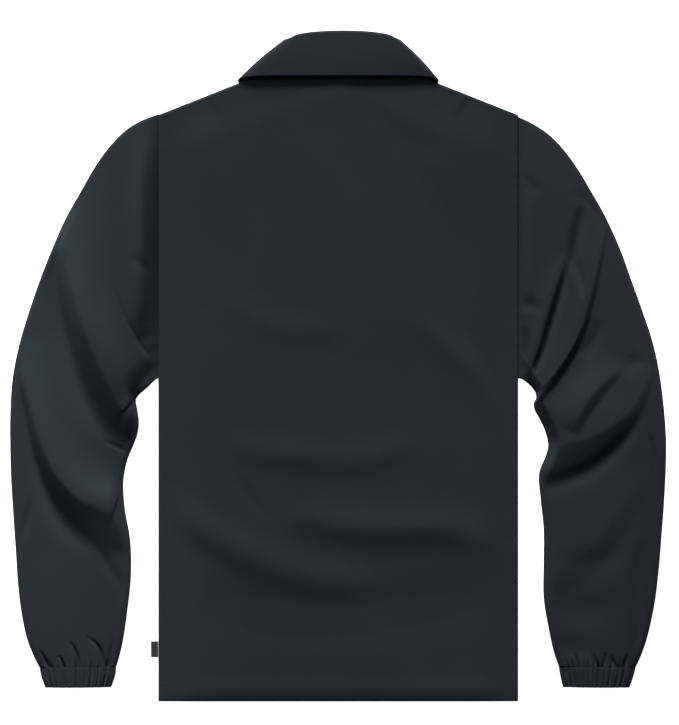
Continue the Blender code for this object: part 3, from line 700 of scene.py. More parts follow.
def beside_line(line, x, y):
    """How far each place lies to the line's left, and the half width and height at the line there."""
    nearest = np.full_like(x, 1e9)
    left = np.zeros_like(x)
    width = np.ones_like(x)
    height = np.zeros_like(x)
    for (ax, ay, aw, ah), (bx, by, bw, bh) in zip(line, line[1:]):
        run_x = bx - ax
        run_y = by - ay
        along = ((x - ax) * run_x + (y - ay) * run_y) / (run_x**2 + run_y**2)
        along = np.clip(along, 0.0, 1.0)
        off_x = x - ax - along * run_x
        off_y = y - ay - along * run_y
        distance = np.hypot(off_x, off_y)
        closer = distance < nearest
        side = np.where(run_x * off_y > run_y * off_x, 1.0, -1.0)
        nearest = np.where(closer, distance, nearest)
        left = np.where(closer, side * distance, left)
        width = np.where(closer, aw + (bw - aw) * along, width)
        height = np.where(closer, ah + (bh - ah) * along, height)
    return left, width, height


def fold_height(folds, x, y):
    """Height that the folds add: soft ridges and troughs, and folds with one steep face."""
    total = np.zeros_like(x)
    for fold in folds:
        left, width, height = beside_line(fold_line(fold), x, y)
        if fold.rises == "soft":
            total += height * np.exp(-((left / width) ** 2))
            continue
        side = left if fold.rises == "left" else -left
        foot = FOLD_FOOT * width
        side = np.maximum(side, 0.0) + foot * np.log1p(np.exp(-np.abs(side) / foot))
        climb = 1.0 - (1.0 - np.clip(side / width, 0.0, 1.0)) ** FACE_POWER
        fall = np.exp(-((np.maximum(side - width, 0.0) / fold.reach) ** 2))
        total += height * climb * fall
    return total * bpy.context.scene.jacket_cloth.crease_depth


def pucker(distance, along, reach, height):
    """Small uneven waves beside a line of sewing, fading away from it."""
    drift = PUCKER_DRIFT * np.sin(along / PUCKER_DRIFT_RUN)
    swell = 1.0 - PUCKER_SWELL * (1.0 - np.sin(along / PUCKER_SWELL_RUN))
    return height * np.sin(along / PUCKER_RUN + drift) * swell * np.exp(-np.abs(distance) / reach)


def shoulder_y(x):
    """The shoulder line's height over the jacket's width, drawn on past the neck."""
    slope = (SHOULDER_NECK_Y - SHOULDER_END_Y) / (HALF_WIDTH - SHOULDER_NECK_X)
    return SHOULDER_END_Y + (HALF_WIDTH - np.abs(x)) * slope


def neck_points(rows):
    """A panel's corners along the neck seam, from the middle out, clear of the collar."""
    points = []
    for station in rows:
        x = abs(station.neck_x) + NECK_CLEAR_X
        corner = NECK_CORNER_CLEAR * smooth((x - NECK_CORNER_X) / NECK_CORNER_RAMP)
        points.append((x, station.neck_y - NECK_CLEAR_Y - corner))
    return sorted(points)


BACK_NECK = neck_points(COLLAR_HALF[: SIDE_ROW + 1])
FRONT_NECK = neck_points(COLLAR_HALF[SIDE_ROW:])


def panel_top(x, neck):
    """The top edge of a panel: its neck curve, then the shoulder line."""
    across, up = zip(*neck)
    curve = np.interp(np.abs(x), across, up)
    return np.where(np.abs(x) > across[-1], shoulder_y(x), curve)


def leaf_lift(x, y):
    """How far the collar's front points hold the fronts up from the table."""
    reach = LEAF_POINT_X + (y - LEAF_POINT_Y) * LEAF_SPREAD + LEAF_MARGIN
    rise = smooth((y - LEAF_LOW_Y) / LEAF_RAMP)
    return LEAF_LIFT * rise * smooth((reach - np.abs(x)) / LEAF_RAMP)


def placket_lift(x):
    """How far the snap caps hold the outer placket up from the table."""
    return PLACKET_LIFT * smooth((PLACKET_FOOT - np.abs(x)) / PLACKET_RAMP)


def front_floor(x, y):
    """How far the snap caps and the collar's front points hold the fronts up together."""
    return np.maximum(placket_lift(x), leaf_lift(x, y))


def lap_lift(x):
    """The inner placket climbs onto the outer one."""
    return LAYER * smooth((PLACKET_FOOT - x) / PLACKET_RAMP)


def front_relief(x, y):
    """Folds of the fronts, which lift their cloth off the table."""
    inside = smooth((HALF_WIDTH - np.abs(x)) / SIDE_FALL) * smooth((y - HEM_Y) / SIDE_FALL)
    return front_floor(x, y) + fold_height(FRONT_FOLDS, x, y) * inside


def lapped_front(x, y):
    """The right front's outer side, which climbs onto the left front's placket."""
    return front_relief(x, y) + lap_lift(x)


def back_floor(x, y):
    """The back's underside: above both fronts, softly level inside, low at the side seams."""
    stack = front_floor(x, y) + LAYER
    side = HALF_WIDTH - np.abs(x)
    top = (shoulder_y(x) - y) * SHOULDER_COSINE
    hem = (y - HEM_Y) * HEM_FALL_RATE + HEM_START
    inside = smooth(side / SIDE_FALL) * smooth(top / EDGE_FALL) * smooth(hem / EDGE_FALL)
    level = LAYER + (BACK_LEVEL - CLOTH * 0.5 - LAYER) * inside
    rest = (stack + level + np.sqrt((stack - level) ** 2 + STACK_BEND**2)) * 0.5
    folded = np.maximum(fold_height(BACK_FOLDS, x, y), -BACK_AIR)
    hem_rise = HEM_RISE * smooth((HEM_Y + HEM_RISE_REACH - y) / HEM_RISE_REACH)
    return rest + inside * (BACK_AIR + folded + hem_rise)


def hem_relief(y):
    """The turned-up hem: a faintly raised band that the stitches pull in."""
    depth = bpy.context.scene.jacket_cloth.hem_depth / MM
    up = y - HEM_Y
    band = HEM_BAND * smooth((depth + HEM_BAND_EDGE - up) / HEM_BAND_RAMP)
    return band - HEM_SEAM_DIP * np.exp(-(((up - depth) / HEM_SEAM_WIDTH) ** 2))


def back_surface(x, y):
    """Height of the back's upper side, rolled down at its side seams."""
    side = HALF_WIDTH - np.abs(x)
    roll = SIDE_ROLL_DROP * (1.0 - quarter_round(side, SIDE_ROLL))
    sewn = pucker(side, y, *SIDE_PUCKER) + pucker(y - HEM_Y, x, *HEM_PUCKER)
    return back_floor(x, y) + CLOTH + hem_relief(y) + sewn - roll


def cloth_piece(name, points, flat, material, facing, closed=False, thickness=None):
    """A fine sheet of cloth from rows of points in mm, with its weave map and a wall.

    facing is a grid place and the way that the cloth's outer side looks there.
    """
    rows, columns = points.shape[:2]
    bm = bmesh.new()
    bmesh.ops.create_grid(bm, x_segments=columns - 1, y_segments=rows - 1, size=0.5)
    weave = bm.loops.layers.uv.new("weave")
    cells = []
    for vert in bm.verts:
        row = round((vert.co.y + 0.5) * (rows - 1))
        column = round((vert.co.x + 0.5) * (columns - 1))
        cells.append((row, column))
        vert.co = points[row, column] * MM
    for face in bm.faces:
        for loop in face.loops:
            loop[weave].uv = flat[cells[loop.vert.index]] * MM
    bm.normal_update()
    row, column, way = facing
    bm.verts.ensure_lookup_table()
    if bm.verts[cells.index((row, column))].normal.dot(way) < 0.0:
        bmesh.ops.reverse_faces(bm, faces=bm.faces)
    if closed:
        bmesh.ops.remove_doubles(bm, verts=bm.verts, dist=1e-7)
    item = finished_piece(name, bm, material)
    wall = item.modifiers.new("wall", "SOLIDIFY")
    wall.thickness = thickness or bpy.context.scene.jacket_cloth.thickness
    wall.offset = -1.0
    return item


def finished_piece(name, bm, material):
    """A piece from a finished bmesh, smooth and in its own place."""
    mesh = bpy.data.meshes.new(name)
    bm.to_mesh(mesh)
    bm.free()
    mesh.materials.append(material)
    mesh.shade_smooth()
    item = bpy.data.objects.new(name, mesh)
    bpy.context.scene.collection.objects.link(item)
    return item


def sew(bm, path):
    """A row of small stitches along a path in mm, half sunk into the cloth."""
    cloth = bpy.context.scene.jacket_cloth
    pitch = cloth.stitch_length / MM
    radius = cloth.thread_radius / MM
    path = np.maximum(path, (-np.inf, -np.inf, radius))
    run = run_length(path)
    shape = Matrix.Diagonal((pitch * STITCH_HALF_SHARE, radius, radius, 1.0))
    stitches = np.arange(pitch * 0.5, run[-1] - pitch * 0.5, pitch)
    for first in range(0, len(stitches), STITCH_BATCH):
        batch = bmesh.new()
        for place in stitches[first : first + STITCH_BATCH]:
            middle = Vector([np.interp(place, run, path[:, axis]) for axis in range(3)])
            ahead = place + pitch * STITCH_LOOK_AHEAD
            ahead = Vector([np.interp(ahead, run, path[:, axis]) for axis in range(3)])
            turn = (ahead - middle).to_track_quat("X", "Z").to_matrix().to_4x4()
            matrix = Matrix.Scale(MM, 4) @ Matrix.Translation(middle) @ turn @ shape
            bmesh.ops.create_uvsphere(batch, u_segments=6, v_segments=4, radius=1.0, matrix=matrix)
        row = bpy.data.meshes.new("row")
        batch.to_mesh(row)
        batch.free()
        bm.from_mesh(row)
        bpy.data.meshes.remove(row)


def hang_light(light, place, target):
    """Hangs a light at a place and points it at another one."""
    item = bpy.data.objects.new(light.name, light)
    item.location = place
    item.rotation_mode = "QUATERNION"
    item.rotation_quaternion = (Vector(target) - item.location).to_track_quat("-Z", "Y")
    bpy.context.scene.collection.objects.link(item)
    return item


def dress(item, node):
    """Puts a piece in the place of its CAD node."""
    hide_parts(node)
    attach(item, BODY)
    return item


def panel_points(x_places, y_shares, neck, surface):
    """Rows of points over a panel, from the hem to its top edge."""
    x, share = np.meshgrid(x_places, y_shares)
    y = HEM_Y + (panel_top(x, neck) - HEM_Y) * share
    return np.stack([x, y, surface(x, y)], axis=2)


def section_at(sections, share):
    """Sections between the table's rows, on a smooth curve through all of them."""
    table = np.array(sections)
    position = np.asarray(share) * (len(table) - 1)
    index = np.minimum(position.astype(int), len(table) - 2)
    t = (position - index)[..., None]
    last = len(table) - 1
    a, b, c, d = (table[np.clip(index + step, 0, last)] for step in (-1, 0, 1, 2))
    slope_b = (c - a) * 0.5
    slope_c = (d - b) * 0.5
    square = 3.0 * (c - b) - 2.0 * slope_b - slope_c
    cube = 2.0 * (b - c) + slope_b + slope_c
    return b + slope_b * t + square * t * t + cube * t * t * t


def ring_distances(width, edge_steps, segments):
    """Distances from the outer edge: fine steps at both edges and even ones between them."""
    steps = np.array(edge_steps)
    even = np.linspace(0.0, 1.0, segments + 1)[1:-1]
    middle = steps[-1] + (width[:, None] - 2.0 * steps[-1]) * even
    first = np.broadcast_to(steps, (len(width), len(steps)))
    last = width[:, None] - steps[::-1]
    return np.concatenate([first, middle, last], axis=1)


def tube_points(sections, rows, top_segments, floor_segments, height, under):
    """Rings of a flattened tube, its floor flat and its top as high as height says."""
    found = section_at(sections, np.linspace(0.0, 1.0, rows + 1))
    outer = found[:, 0:2]
    inner = found[:, 2:4]
    width = np.linalg.norm(inner - outer, axis=1)
    top = ring_distances(width, TOP_EDGE_STEPS, top_segments)
    floor = ring_distances(width, FLOOR_EDGE_STEPS, floor_segments)[:, ::-1]
    distance = np.concatenate([top, floor[:, 1:]], axis=1)
    share = distance / width[:, None]
    flat_place = outer[:, None, :] + (inner - outer)[:, None, :] * share[:, :, None]
    edge = np.minimum(distance, width[:, None] - distance)
    x = flat_place[:, :, 0]
    y = flat_place[:, :, 1]
    high = height(x, y, share, width[:, None])
    upper = EDGE_START + (high - EDGE_START) * quarter_round(edge, EDGE_RADIUS)
    lower = EDGE_START * (1.0 - quarter_round(edge, FLOOR_RADIUS)) + under(x, y, edge)
    on_top = np.arange(distance.shape[1]) < top.shape[1]
    z = np.where(on_top[None, :], upper, lower)
    run = run_length((outer + inner) * 0.5)
    across = np.where(on_top[None, :], distance, -distance)
    along = np.broadcast_to(run[:, None], distance.shape)
    return np.stack([x, y, z], axis=2), np.stack([across, along], axis=2)


def soft_lowest(height, lowest):
    """Keeps a height above the lowest one with a soft bend."""
    above = np.maximum(height - lowest, 0.0)
    return lowest + above + LOW_BEND * np.log1p(np.exp(-np.abs(height - lowest) / LOW_BEND))


def gathers(share, width, dips):
    """Troughs that the elastic draws in, from a table of their places, depths and half widths."""
    total = np.zeros_like(share * width)
    for place, depth, half in dips:
        total -= depth * np.exp(-(((share - place) * width / half) ** 2))
    drift = FINE_GATHER_DRIFT * np.sin(share * FINE_GATHER_DRIFT_RATE)
    return total + FINE_GATHER * np.cos(share * width * FINE_GATHER_RATE + drift)


def sleeve_surface(folds, dips):
    """A function that gives the height of a sleeve's upper cloth over the table."""

    def height(x, y, share, width):
        away = np.abs(x) - SLEEVE_START_X
        up = y - LEFT_SECTIONS[-1].outer_y
        crown = CUFF_CROWN + (SLEEVE_CROWN - CUFF_CROWN) * smooth(up / CUFF_BLEND)
        lens = np.sin(np.pi * np.clip(share, 0.0, 1.0)) ** LENS_POWER
        near_cuff = 1.0 - smooth(up / GATHER_REACH)
        drawn = gathers(share, width, dips) * near_cuff
        inside = smooth(np.minimum(share, 1.0 - share) * width / EDGE_FADE)
        folded = (fold_height(folds, x, y) + drawn) * inside
        raised = soft_lowest(EDGE_HEIGHT + crown * lens + folded, LOWEST_TOP)
        raised = raised + pucker(away, y, *ARMHOLE_PUCKER) * smooth(away / ARMHOLE_PUCKER_START)
        raised = raised - CASING_DIP * (1.0 - quarter_round(np.maximum(up, 0.0), CASING_SEAM))
        rise = 1.0 - (1.0 - np.clip(away / ARMHOLE_REACH, 0.0, 1.0)) ** ARMHOLE_STEEPNESS
        return ARMHOLE_START + (raised - ARMHOLE_START) * rise

    return height


def under_surface(x, y, edge):
    """How far the sleeve's side on the table is lifted by its folds."""
    return fold_height(UNDER_FOLDS, -np.abs(x), y) * smooth(edge / UNDER_EDGE_FADE)


def cuff_surface(sections, dips):
    """A function that gives the height of a gathered casing over the table."""

    def height(x, y, share, width):
        lens = np.sin(np.pi * np.clip(share, 0.0, 1.0)) ** LENS_POWER
        inside = smooth(np.minimum(share, 1.0 - share) * width / GATHER_EDGE_FADE)
        down = sections[0].outer_y - y
        up = y - sections[-1].outer_y
        seam = CASING_DIP * (1.0 - quarter_round(np.maximum(down, 0.0), CASING_SEAM))
        lip = CASING_LIP * (1.0 - quarter_round(np.maximum(up, 0.0), CASING_SEAM))
        return EDGE_HEIGHT + CUFF_CROWN * lens + gathers(share, width, dips) * inside - seam - lip

    return height


def casing_under(x, y, edge):
    """How far a casing's side on the table is lifted by its gathers."""
    drift = UNDER_GATHER_DRIFT * np.sin(x * UNDER_GATHER_DRIFT_RATE)
    ripple = np.cos(x * UNDER_GATHER_RATE + drift)
    return UNDER_GATHER * (1.0 + ripple) * smooth(edge / UNDER_EDGE_FADE)


def cuff_rings(sections, dips):
    """A cuff's rings of points and its weave map."""
    counts = (CUFF_ROWS, CUFF_TOP_SEGMENTS, CUFF_FLOOR_SEGMENTS)
    return tube_points(sections, *counts, cuff_surface(sections, dips), casing_under)


def collar_stations():
    """All stations, from the left front point round the back to the right front point."""
    left = list(reversed(COLLAR_HALF))
    right = []
    for item in COLLAR_HALF[1:]:
        drop = LEAF_RIGHT_DROP * smooth(abs(item.edge_x) / LEAF_DROP_REACH) if item.turn == 0 else 0.0
        mirrored = {"neck_x": -item.neck_x, "fold_x": -item.fold_x, "edge_x": -item.edge_x}
        right.append(item._replace(**mirrored, edge_z=item.edge_z - drop))
    return left + right


def collar_profile(station, side, index):
    """Middle of the collar's cloth at a place of its profile, and the way to its inner side."""
    lean = COLLAR_LEAN * float(smooth((station.fold_y - SHOULDER_NECK_Y) / LEAN_REACH))
    neck = Vector((station.neck_x, station.neck_y, station.neck_z))
    fold = Vector((station.fold_x + lean, station.fold_y, station.fold_z))
    edge = Vector((station.edge_x, station.edge_y, station.edge_z))
    along = Vector((fold.x - neck.x, fold.y - neck.y, 0.0)).normalized()
    sideways = Vector((-along.y, along.x, 0.0)) * side
    turn = math.radians(station.turn)
    normal = UP * math.cos(turn) + sideways * math.sin(turn)
    centre = fold - along * (station.roll + CLOTH * 0.5) + normal * station.roll
    stand_end = centre - normal * station.roll
    leaf_start = centre + normal * station.roll
    if index <= STAND_SEGMENTS:
        return neck.lerp(stand_end, index / STAND_SEGMENTS), normal
    index -= STAND_SEGMENTS
    if index < ROLL_SEGMENTS:
        angle = math.pi * index / ROLL_SEGMENTS
        towards = normal * math.cos(angle) - along * math.sin(angle)
        return centre - towards * station.roll, towards
    share = (index - ROLL_SEGMENTS) / LEAF_SEGMENTS
    bulge = sideways * math.sin(turn) + UP * max(math.cos(turn), 0.0)
    crown = station.crown * COLLAR_CROWN_SHARE * math.sin(math.pi * share)
    return leaf_start.lerp(edge, share) + bulge * crown, -normal


def collar_points():
    """Rows of points over the collar's outer side, and its weave map."""
    stations = collar_stations()
    found = section_at(stations, np.linspace(0.0, 1.0, COLLAR_ROWS + 1))
    columns = STAND_SEGMENTS + ROLL_SEGMENTS + LEAF_SEGMENTS + 1
    points = np.zeros((COLLAR_ROWS + 1, columns, 3))
    for row, values in enumerate(found):
        station = Station(*values)
        side = 1.0 if row <= COLLAR_ROWS / 2 else -1.0
        for column in range(columns):
            centre, towards = collar_profile(station, side, column)
            point = centre - towards * CLOTH * 0.5
            points[row, column] = (point.x, point.y, max(point.z, 0.0))
    along = run_length(points[:, STAND_SEGMENTS])
    across = run_length(points[COLLAR_ROWS // 2])
    flat = np.stack(np.meshgrid(across, along), axis=2)[:, :, ::-1]
    return points, flat


def add_node(tree, kind, **inputs):
    """A new node with its unlinked sockets set."""
    node = tree.nodes.new(kind)
    for name, value in inputs.items():
        node.inputs[name.replace("_", " ")].default_value = value
    return node


def object_noise(tree, scale, detail):
    """Even noise over the piece's own place."""
    place = tree.nodes.new("ShaderNodeTexCoord")
    return stretched_noise(tree, place.outputs["Object"], (scale, scale, scale), detail, 0.6)


def weave_place(tree):
    """The place on the cloth laid flat, and its parts across and along the cloth."""
    weave = tree.nodes.new("ShaderNodeUVMap")
    weave.uv_map = "weave"
    parts = tree.nodes.new("ShaderNodeSeparateXYZ")
    tree.links.new(weave.outputs["UV"], parts.inputs["Vector"])
    return weave.outputs["UV"], parts.outputs["X"], parts.outputs["Y"]


def math_node(tree, operation, first, second=None, third=None):
    """A Math node whose operands are sockets or numbers."""
    node = tree.nodes.new("ShaderNodeMath")
    node.operation = operation
    for index, value in enumerate((first, second, third)):
        if isinstance(value, bpy.types.NodeSocket):
            tree.links.new(value, node.inputs[index])
        elif value is not None:
            node.inputs[index].default_value = value
    return node.outputs[0]


def wave(tree, place, pitch):
    """A sine wave over a place, with one turn for each pitch."""
    return math_node(tree, "SINE", math_node(tree, "MULTIPLY", place, math.tau / pitch))


def add_bump(tree, shader, height, strength, distance):
    """Fine relief on a shader."""
    bump = add_node(tree, "ShaderNodeBump", Strength=strength, Distance=distance)
    tree.links.new(height, bump.inputs["Height"])
    tree.links.new(bump.outputs["Normal"], shader.inputs["Normal"])


def stretched_noise(tree, coordinates, scale, detail=2.0, roughness=0.5):
    """Noise over coordinates stretched by a scale for each axis."""
    place = tree.nodes.new("ShaderNodeMapping")
    place.inputs["Scale"].default_value = scale
    tree.links.new(coordinates, place.inputs["Vector"])
    noise = add_node(tree, "ShaderNodeTexNoise", Scale=1.0, Detail=detail, Roughness=roughness)
    tree.links.new(place.outputs["Vector"], noise.inputs["Vector"])
    return noise.outputs["Fac"]


def spread(tree, value, low, high):
    """A 0 to 1 value spread between two numbers."""
    node = tree.nodes.new("ShaderNodeMapRange")
    tree.links.new(value, node.inputs["Value"])
    node.inputs["From Min"].default_value = 0.3
    node.inputs["From Max"].default_value = 0.7
    node.inputs["To Min"].default_value = low
    node.inputs["To Max"].default_value = high
    return node.outputs["Result"]


def plain_material(name, roughness):
    """A new material, its node tree and its shader."""
    material = bpy.data.materials.new(name)
    material.use_nodes = True
    shader = material.node_tree.nodes["Principled BSDF"]
    shader.inputs["Roughness"].default_value = roughness
    return material, material.node_tree, shader


def tint_by(tree, shader, colour, shade):
    """Makes a colour lighter or darker by a shade before it goes into the shader."""
    tint = tree.nodes.new("ShaderNodeVectorMath")
    tint.operation = "SCALE"
    tint.inputs["Vector"].default_value = colour
    tree.links.new(shade, tint.inputs["Scale"])
    tree.links.new(tint.outputs["Vector"], shader.inputs["Base Color"])


def woven_material(name, colour, rib_pitch, thread_pitch, roughness):
    """Matt woven cloth: fine threads, faint ribs, slubs and soft unevenness of dye."""
    material, tree, shader = plain_material(name, roughness)
    shader.inputs["Specular IOR Level"].default_value = 0.02
    shader.inputs["Sheen Weight"].default_value = 0.012
    shader.inputs["Sheen Roughness"].default_value = 0.45
    shader.inputs["Sheen Tint"].default_value = (0.8, 0.88, 1.0, 1.0)
    flat, across, along = weave_place(tree)
    weft = wave(tree, along, thread_pitch)
    threads = math_node(tree, "MULTIPLY", weft, wave(tree, across, thread_pitch))
    patches = spread(tree, stretched_noise(tree, flat, (9.0, 14.0, 1.0)), 0.0, RIB_SHADE)
    faint_ribs = math_node(tree, "MULTIPLY", wave(tree, along, rib_pitch), patches)
    slubs = stretched_noise(tree, flat, (28.0, 900.0, 1.0), 3.0, 0.6)
    slubs = spread(tree, slubs, -SLUB_SHADE, SLUB_SHADE)
    dye = spread(tree, stretched_noise(tree, flat, (7.0, 7.0, 7.0), 3.0, 0.55), -DYE_SHADE, DYE_SHADE)
    fleck = stretched_noise(tree, flat, (700.0, 700.0, 1.0), 2.0, 0.6)
    fleck = spread(tree, fleck, -FLECK_SHADE, FLECK_SHADE)
    uneven = math_node(tree, "ADD", math_node(tree, "ADD", slubs, dye), fleck)
    shade = math_node(tree, "ADD", math_node(tree, "ADD", uneven, faint_ribs), 1.0)
    tint_by(tree, shader, colour, shade)
    relief = math_node(tree, "ADD", math_node(tree, "MULTIPLY", threads, 0.35), slubs)
    add_bump(tree, shader, relief, 0.25, 0.0003)
    return material


def painted_metal(name, colour):
    """Satin paint over metal, a little uneven and rubbed."""
    material, tree, shader = plain_material(name, 0.4)
    shader.inputs["Metallic"].default_value = 0.25
    shader.inputs["Coat Weight"].default_value = 0.3
    shader.inputs["Coat Roughness"].default_value = 0.3
    worn = object_noise(tree, 400.0, 4.0)
    rough = spread(tree, worn, 0.3, 0.5)
    tree.links.new(rough, shader.inputs["Roughness"])
    ramp = tree.nodes.new("ShaderNodeValToRGB")
    for end, position, shade in zip(ramp.color_ramp.elements, (0.35, 0.75), (0.8, 1.6)):
        end.position = position
        end.color = (*[value * shade for value in colour], 1.0)
    tree.links.new(worn, ramp.inputs["Fac"])
    tree.links.new(ramp.outputs["Color"], shader.inputs["Base Color"])
    return material


def shell_material():
    """The shell cloth's finish, made once."""
    found = bpy.data.materials.get("ribbed_poplin")
    colour = bpy.context.scene.jacket_colours.cloth
    return found or woven_material("ribbed_poplin", colour, RIB_PITCH, THREAD_PITCH, CLOTH_ROUGHNESS)


def casing_material():
    """The gathered casing's finish, made once."""
    found = bpy.data.materials.get("gathered_poplin")
    colour = [value * CASING_SHADE for value in bpy.context.scene.jacket_colours.cloth]
    pitches = (CASING_RIB_PITCH, THREAD_PITCH)
    return found or woven_material("gathered_poplin", colour, *pitches, CLOTH_ROUGHNESS)


def thread_material():
    """The sewing thread's finish, made once."""
    found = bpy.data.materials.get("sewing_thread")
    if found:
        return found
    material, tree, shader = plain_material("sewing_thread", 0.7)
    shade = spread(tree, object_noise(tree, 900.0, 2.0), 0.75, 1.3)
    tint_by(tree, shader, bpy.context.scene.jacket_colours.thread, shade)
    return material


def ribbon_material(width):
    """The side tag's woven ribbon: fine ribs across it and paler woven edges."""
    material, tree, shader = plain_material("tag_weave", 0.6)
    flat, across, along = weave_place(tree)
    past = math_node(tree, "SUBTRACT", math_node(tree, "ABSOLUTE", along), width * 0.5 - SELVEDGE)
    selvedge = math_node(tree, "MULTIPLY", past, 900.0)
    selvedge = math_node(tree, "MINIMUM", math_node(tree, "MAXIMUM", selvedge, 0.0), 1.0)
    rib = wave(tree, across, RIBBON_RIB_PITCH)
    slubs = spread(tree, stretched_noise(tree, flat, (300.0, 2200.0, 1.0)), 0.82, 1.15)
    shade = math_node(tree, "MULTIPLY_ADD", selvedge, 0.9, slubs)
    shade = math_node(tree, "MULTIPLY_ADD", rib, 0.06, shade)
    tint_by(tree, shader, bpy.context.scene.jacket_colours.tag, shade)
    add_bump(tree, shader, rib, 0.3, 0.0001)
    return material


class COACH_OT_body(bpy.types.Operator):
    """Make the back and the two fronts"""

    bl_idname = "coach_jacket.body"
    bl_label = "Back and Fronts"

    def execute(self, context):
        depth = context.scene.jacket_cloth.hem_depth / MM
        edge = [HALF_WIDTH - step for step in SIDE_ROLL_STEPS]
        x_places = places(-HALF_WIDTH, HALF_WIDTH, BACK_PITCH, [-x for x in edge] + edge)
        tall = SHOULDER_NECK_Y - HEM_Y
        hem_steps = [depth + step for step in HEM_SEAM_STEPS]
        y_shares = places(0.0, 1.0, BACK_PITCH / tall, [step / tall for step in hem_steps])
        back = self.panel("back", x_places, y_shares, back_surface, UP)

        seams = [-HALF_WIDTH, -PLACKET_FOOT, -PLACKET_LAP - PLACKET_MARGIN, PLACKET_LAP]
        left_x = places(-HALF_WIDTH, PLACKET_LAP, FRONT_PITCH, seams)
        y_shares = places(0.0, 1.0, FRONT_PITCH / tall)
        left = self.panel("front_left", left_x, y_shares, front_relief, -UP)
        right_x = places(-PLACKET_LAP, HALF_WIDTH, FRONT_PITCH, [-x for x in seams])
        right = self.panel("front_right", right_x, y_shares, lapped_front, -UP)
        return {"FINISHED"}

    def panel(self, name, x_places, y_shares, surface, way):
        """One panel of the body, whose outer side looks a given way."""
        neck = BACK_NECK if name == "back" else FRONT_NECK
        points = panel_points(x_places, y_shares, neck, surface)
        facing = (len(y_shares) // 2, len(x_places) // 2, way)
        item = cloth_piece(f"cloth_{name}", points, points[:, :, :2], shell_material(), facing)
        return dress(item, name)


class COACH_OT_sleeves(bpy.types.Operator):
    """Make the two sleeves"""

    bl_idname = "coach_jacket.sleeves"
    bl_label = "Sleeves"

    def execute(self, context):
        sides = [
            ("left", LEFT_SECTIONS, LEFT_FOLDS, LEFT_GATHERS),
            ("right", RIGHT_SECTIONS, RIGHT_FOLDS, RIGHT_GATHERS),
        ]
        for side, sections, folds, dips in sides:
            surface = sleeve_surface(folds, dips)
            counts = (SLEEVE_ROWS, SLEEVE_TOP_SEGMENTS, SLEEVE_FLOOR_SEGMENTS)
            points, flat = tube_points(sections, *counts, surface, under_surface)
            facing = (SLEEVE_ROWS // 2, SLEEVE_TOP_SEGMENTS // 2, UP)
            name = f"cloth_sleeve_{side}"
            sleeve = cloth_piece(name, points, flat, shell_material(), facing, closed=True)
            dress(sleeve, f"sleeve_{side}")
        return {"FINISHED"}


class COACH_OT_cuffs(bpy.types.Operator):
    """Make the two elastic cuffs"""

    bl_idname = "coach_jacket.cuffs"
    bl_label = "Elastic Cuffs"

    def execute(self, context):
        for side, sections, dips in CUFFS:
            points, flat = cuff_rings(sections, dips)
            facing = (CUFF_ROWS // 2, CUFF_TOP_SEGMENTS // 2, UP)
            name = f"cloth_cuff_{side}"
            cuff = cloth_piece(name, points, flat, casing_material(), facing, closed=True)
            dress(cuff, f"cuff_{side}")
        return {"FINISHED"}


class COACH_OT_collar(bpy.types.Operator):
    """Make the folded collar"""

    bl_idname = "coach_jacket.collar"
    bl_label = "Collar"

    def execute(self, context):
        points, flat = collar_points()
        leaf_column = STAND_SEGMENTS + ROLL_SEGMENTS + LEAF_SEGMENTS // 2
        facing = (COLLAR_ROWS // 2, leaf_column, UP)
        thick = context.scene.jacket_cloth.collar_thickness
        collar = cloth_piece("cloth_collar", points, flat, shell_material(), facing, thickness=thick)
        dress(collar, "collar")
        return {"FINISHED"}


class COACH_OT_snaps(bpy.types.Operator):
    """Make the five snap caps on the underside of the placket"""

    bl_idname = "coach_jacket.snaps"
    bl_label = "Snap Caps"

    def execute(self, context):
        paint = painted_metal("cap_paint", context.scene.jacket_colours.snap)
        for index in range(SNAP_COUNT):
            node = f"snap_{index + 1}"
            low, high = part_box(node)
            middle = (Vector(low) + Vector(high)) * 0.5
            bm = bmesh.new()
            foot = Vector((middle.x, middle.y, 0.0))
            rim = [bm.verts.new(foot + Vector((r, 0.0, z)) * MM) for r, z in CAP_PROFILE]
            edges = [bm.edges.new(pair) for pair in zip(rim, rim[1:])]
            bmesh.ops.spin(
                bm, geom=rim + edges, cent=middle, axis=UP, angle=math.tau, steps=CAP_SEGMENTS,
                use_merge=True, use_duplicate=False,
            )
            bmesh.ops.remove_doubles(bm, verts=bm.verts, dist=1e-7)
            bmesh.ops.recalc_face_normals(bm, faces=bm.faces)
            cap = finished_piece(f"cap_{index + 1}", bm, paint)
            dress(cap, node)
        return {"FINISHED"}


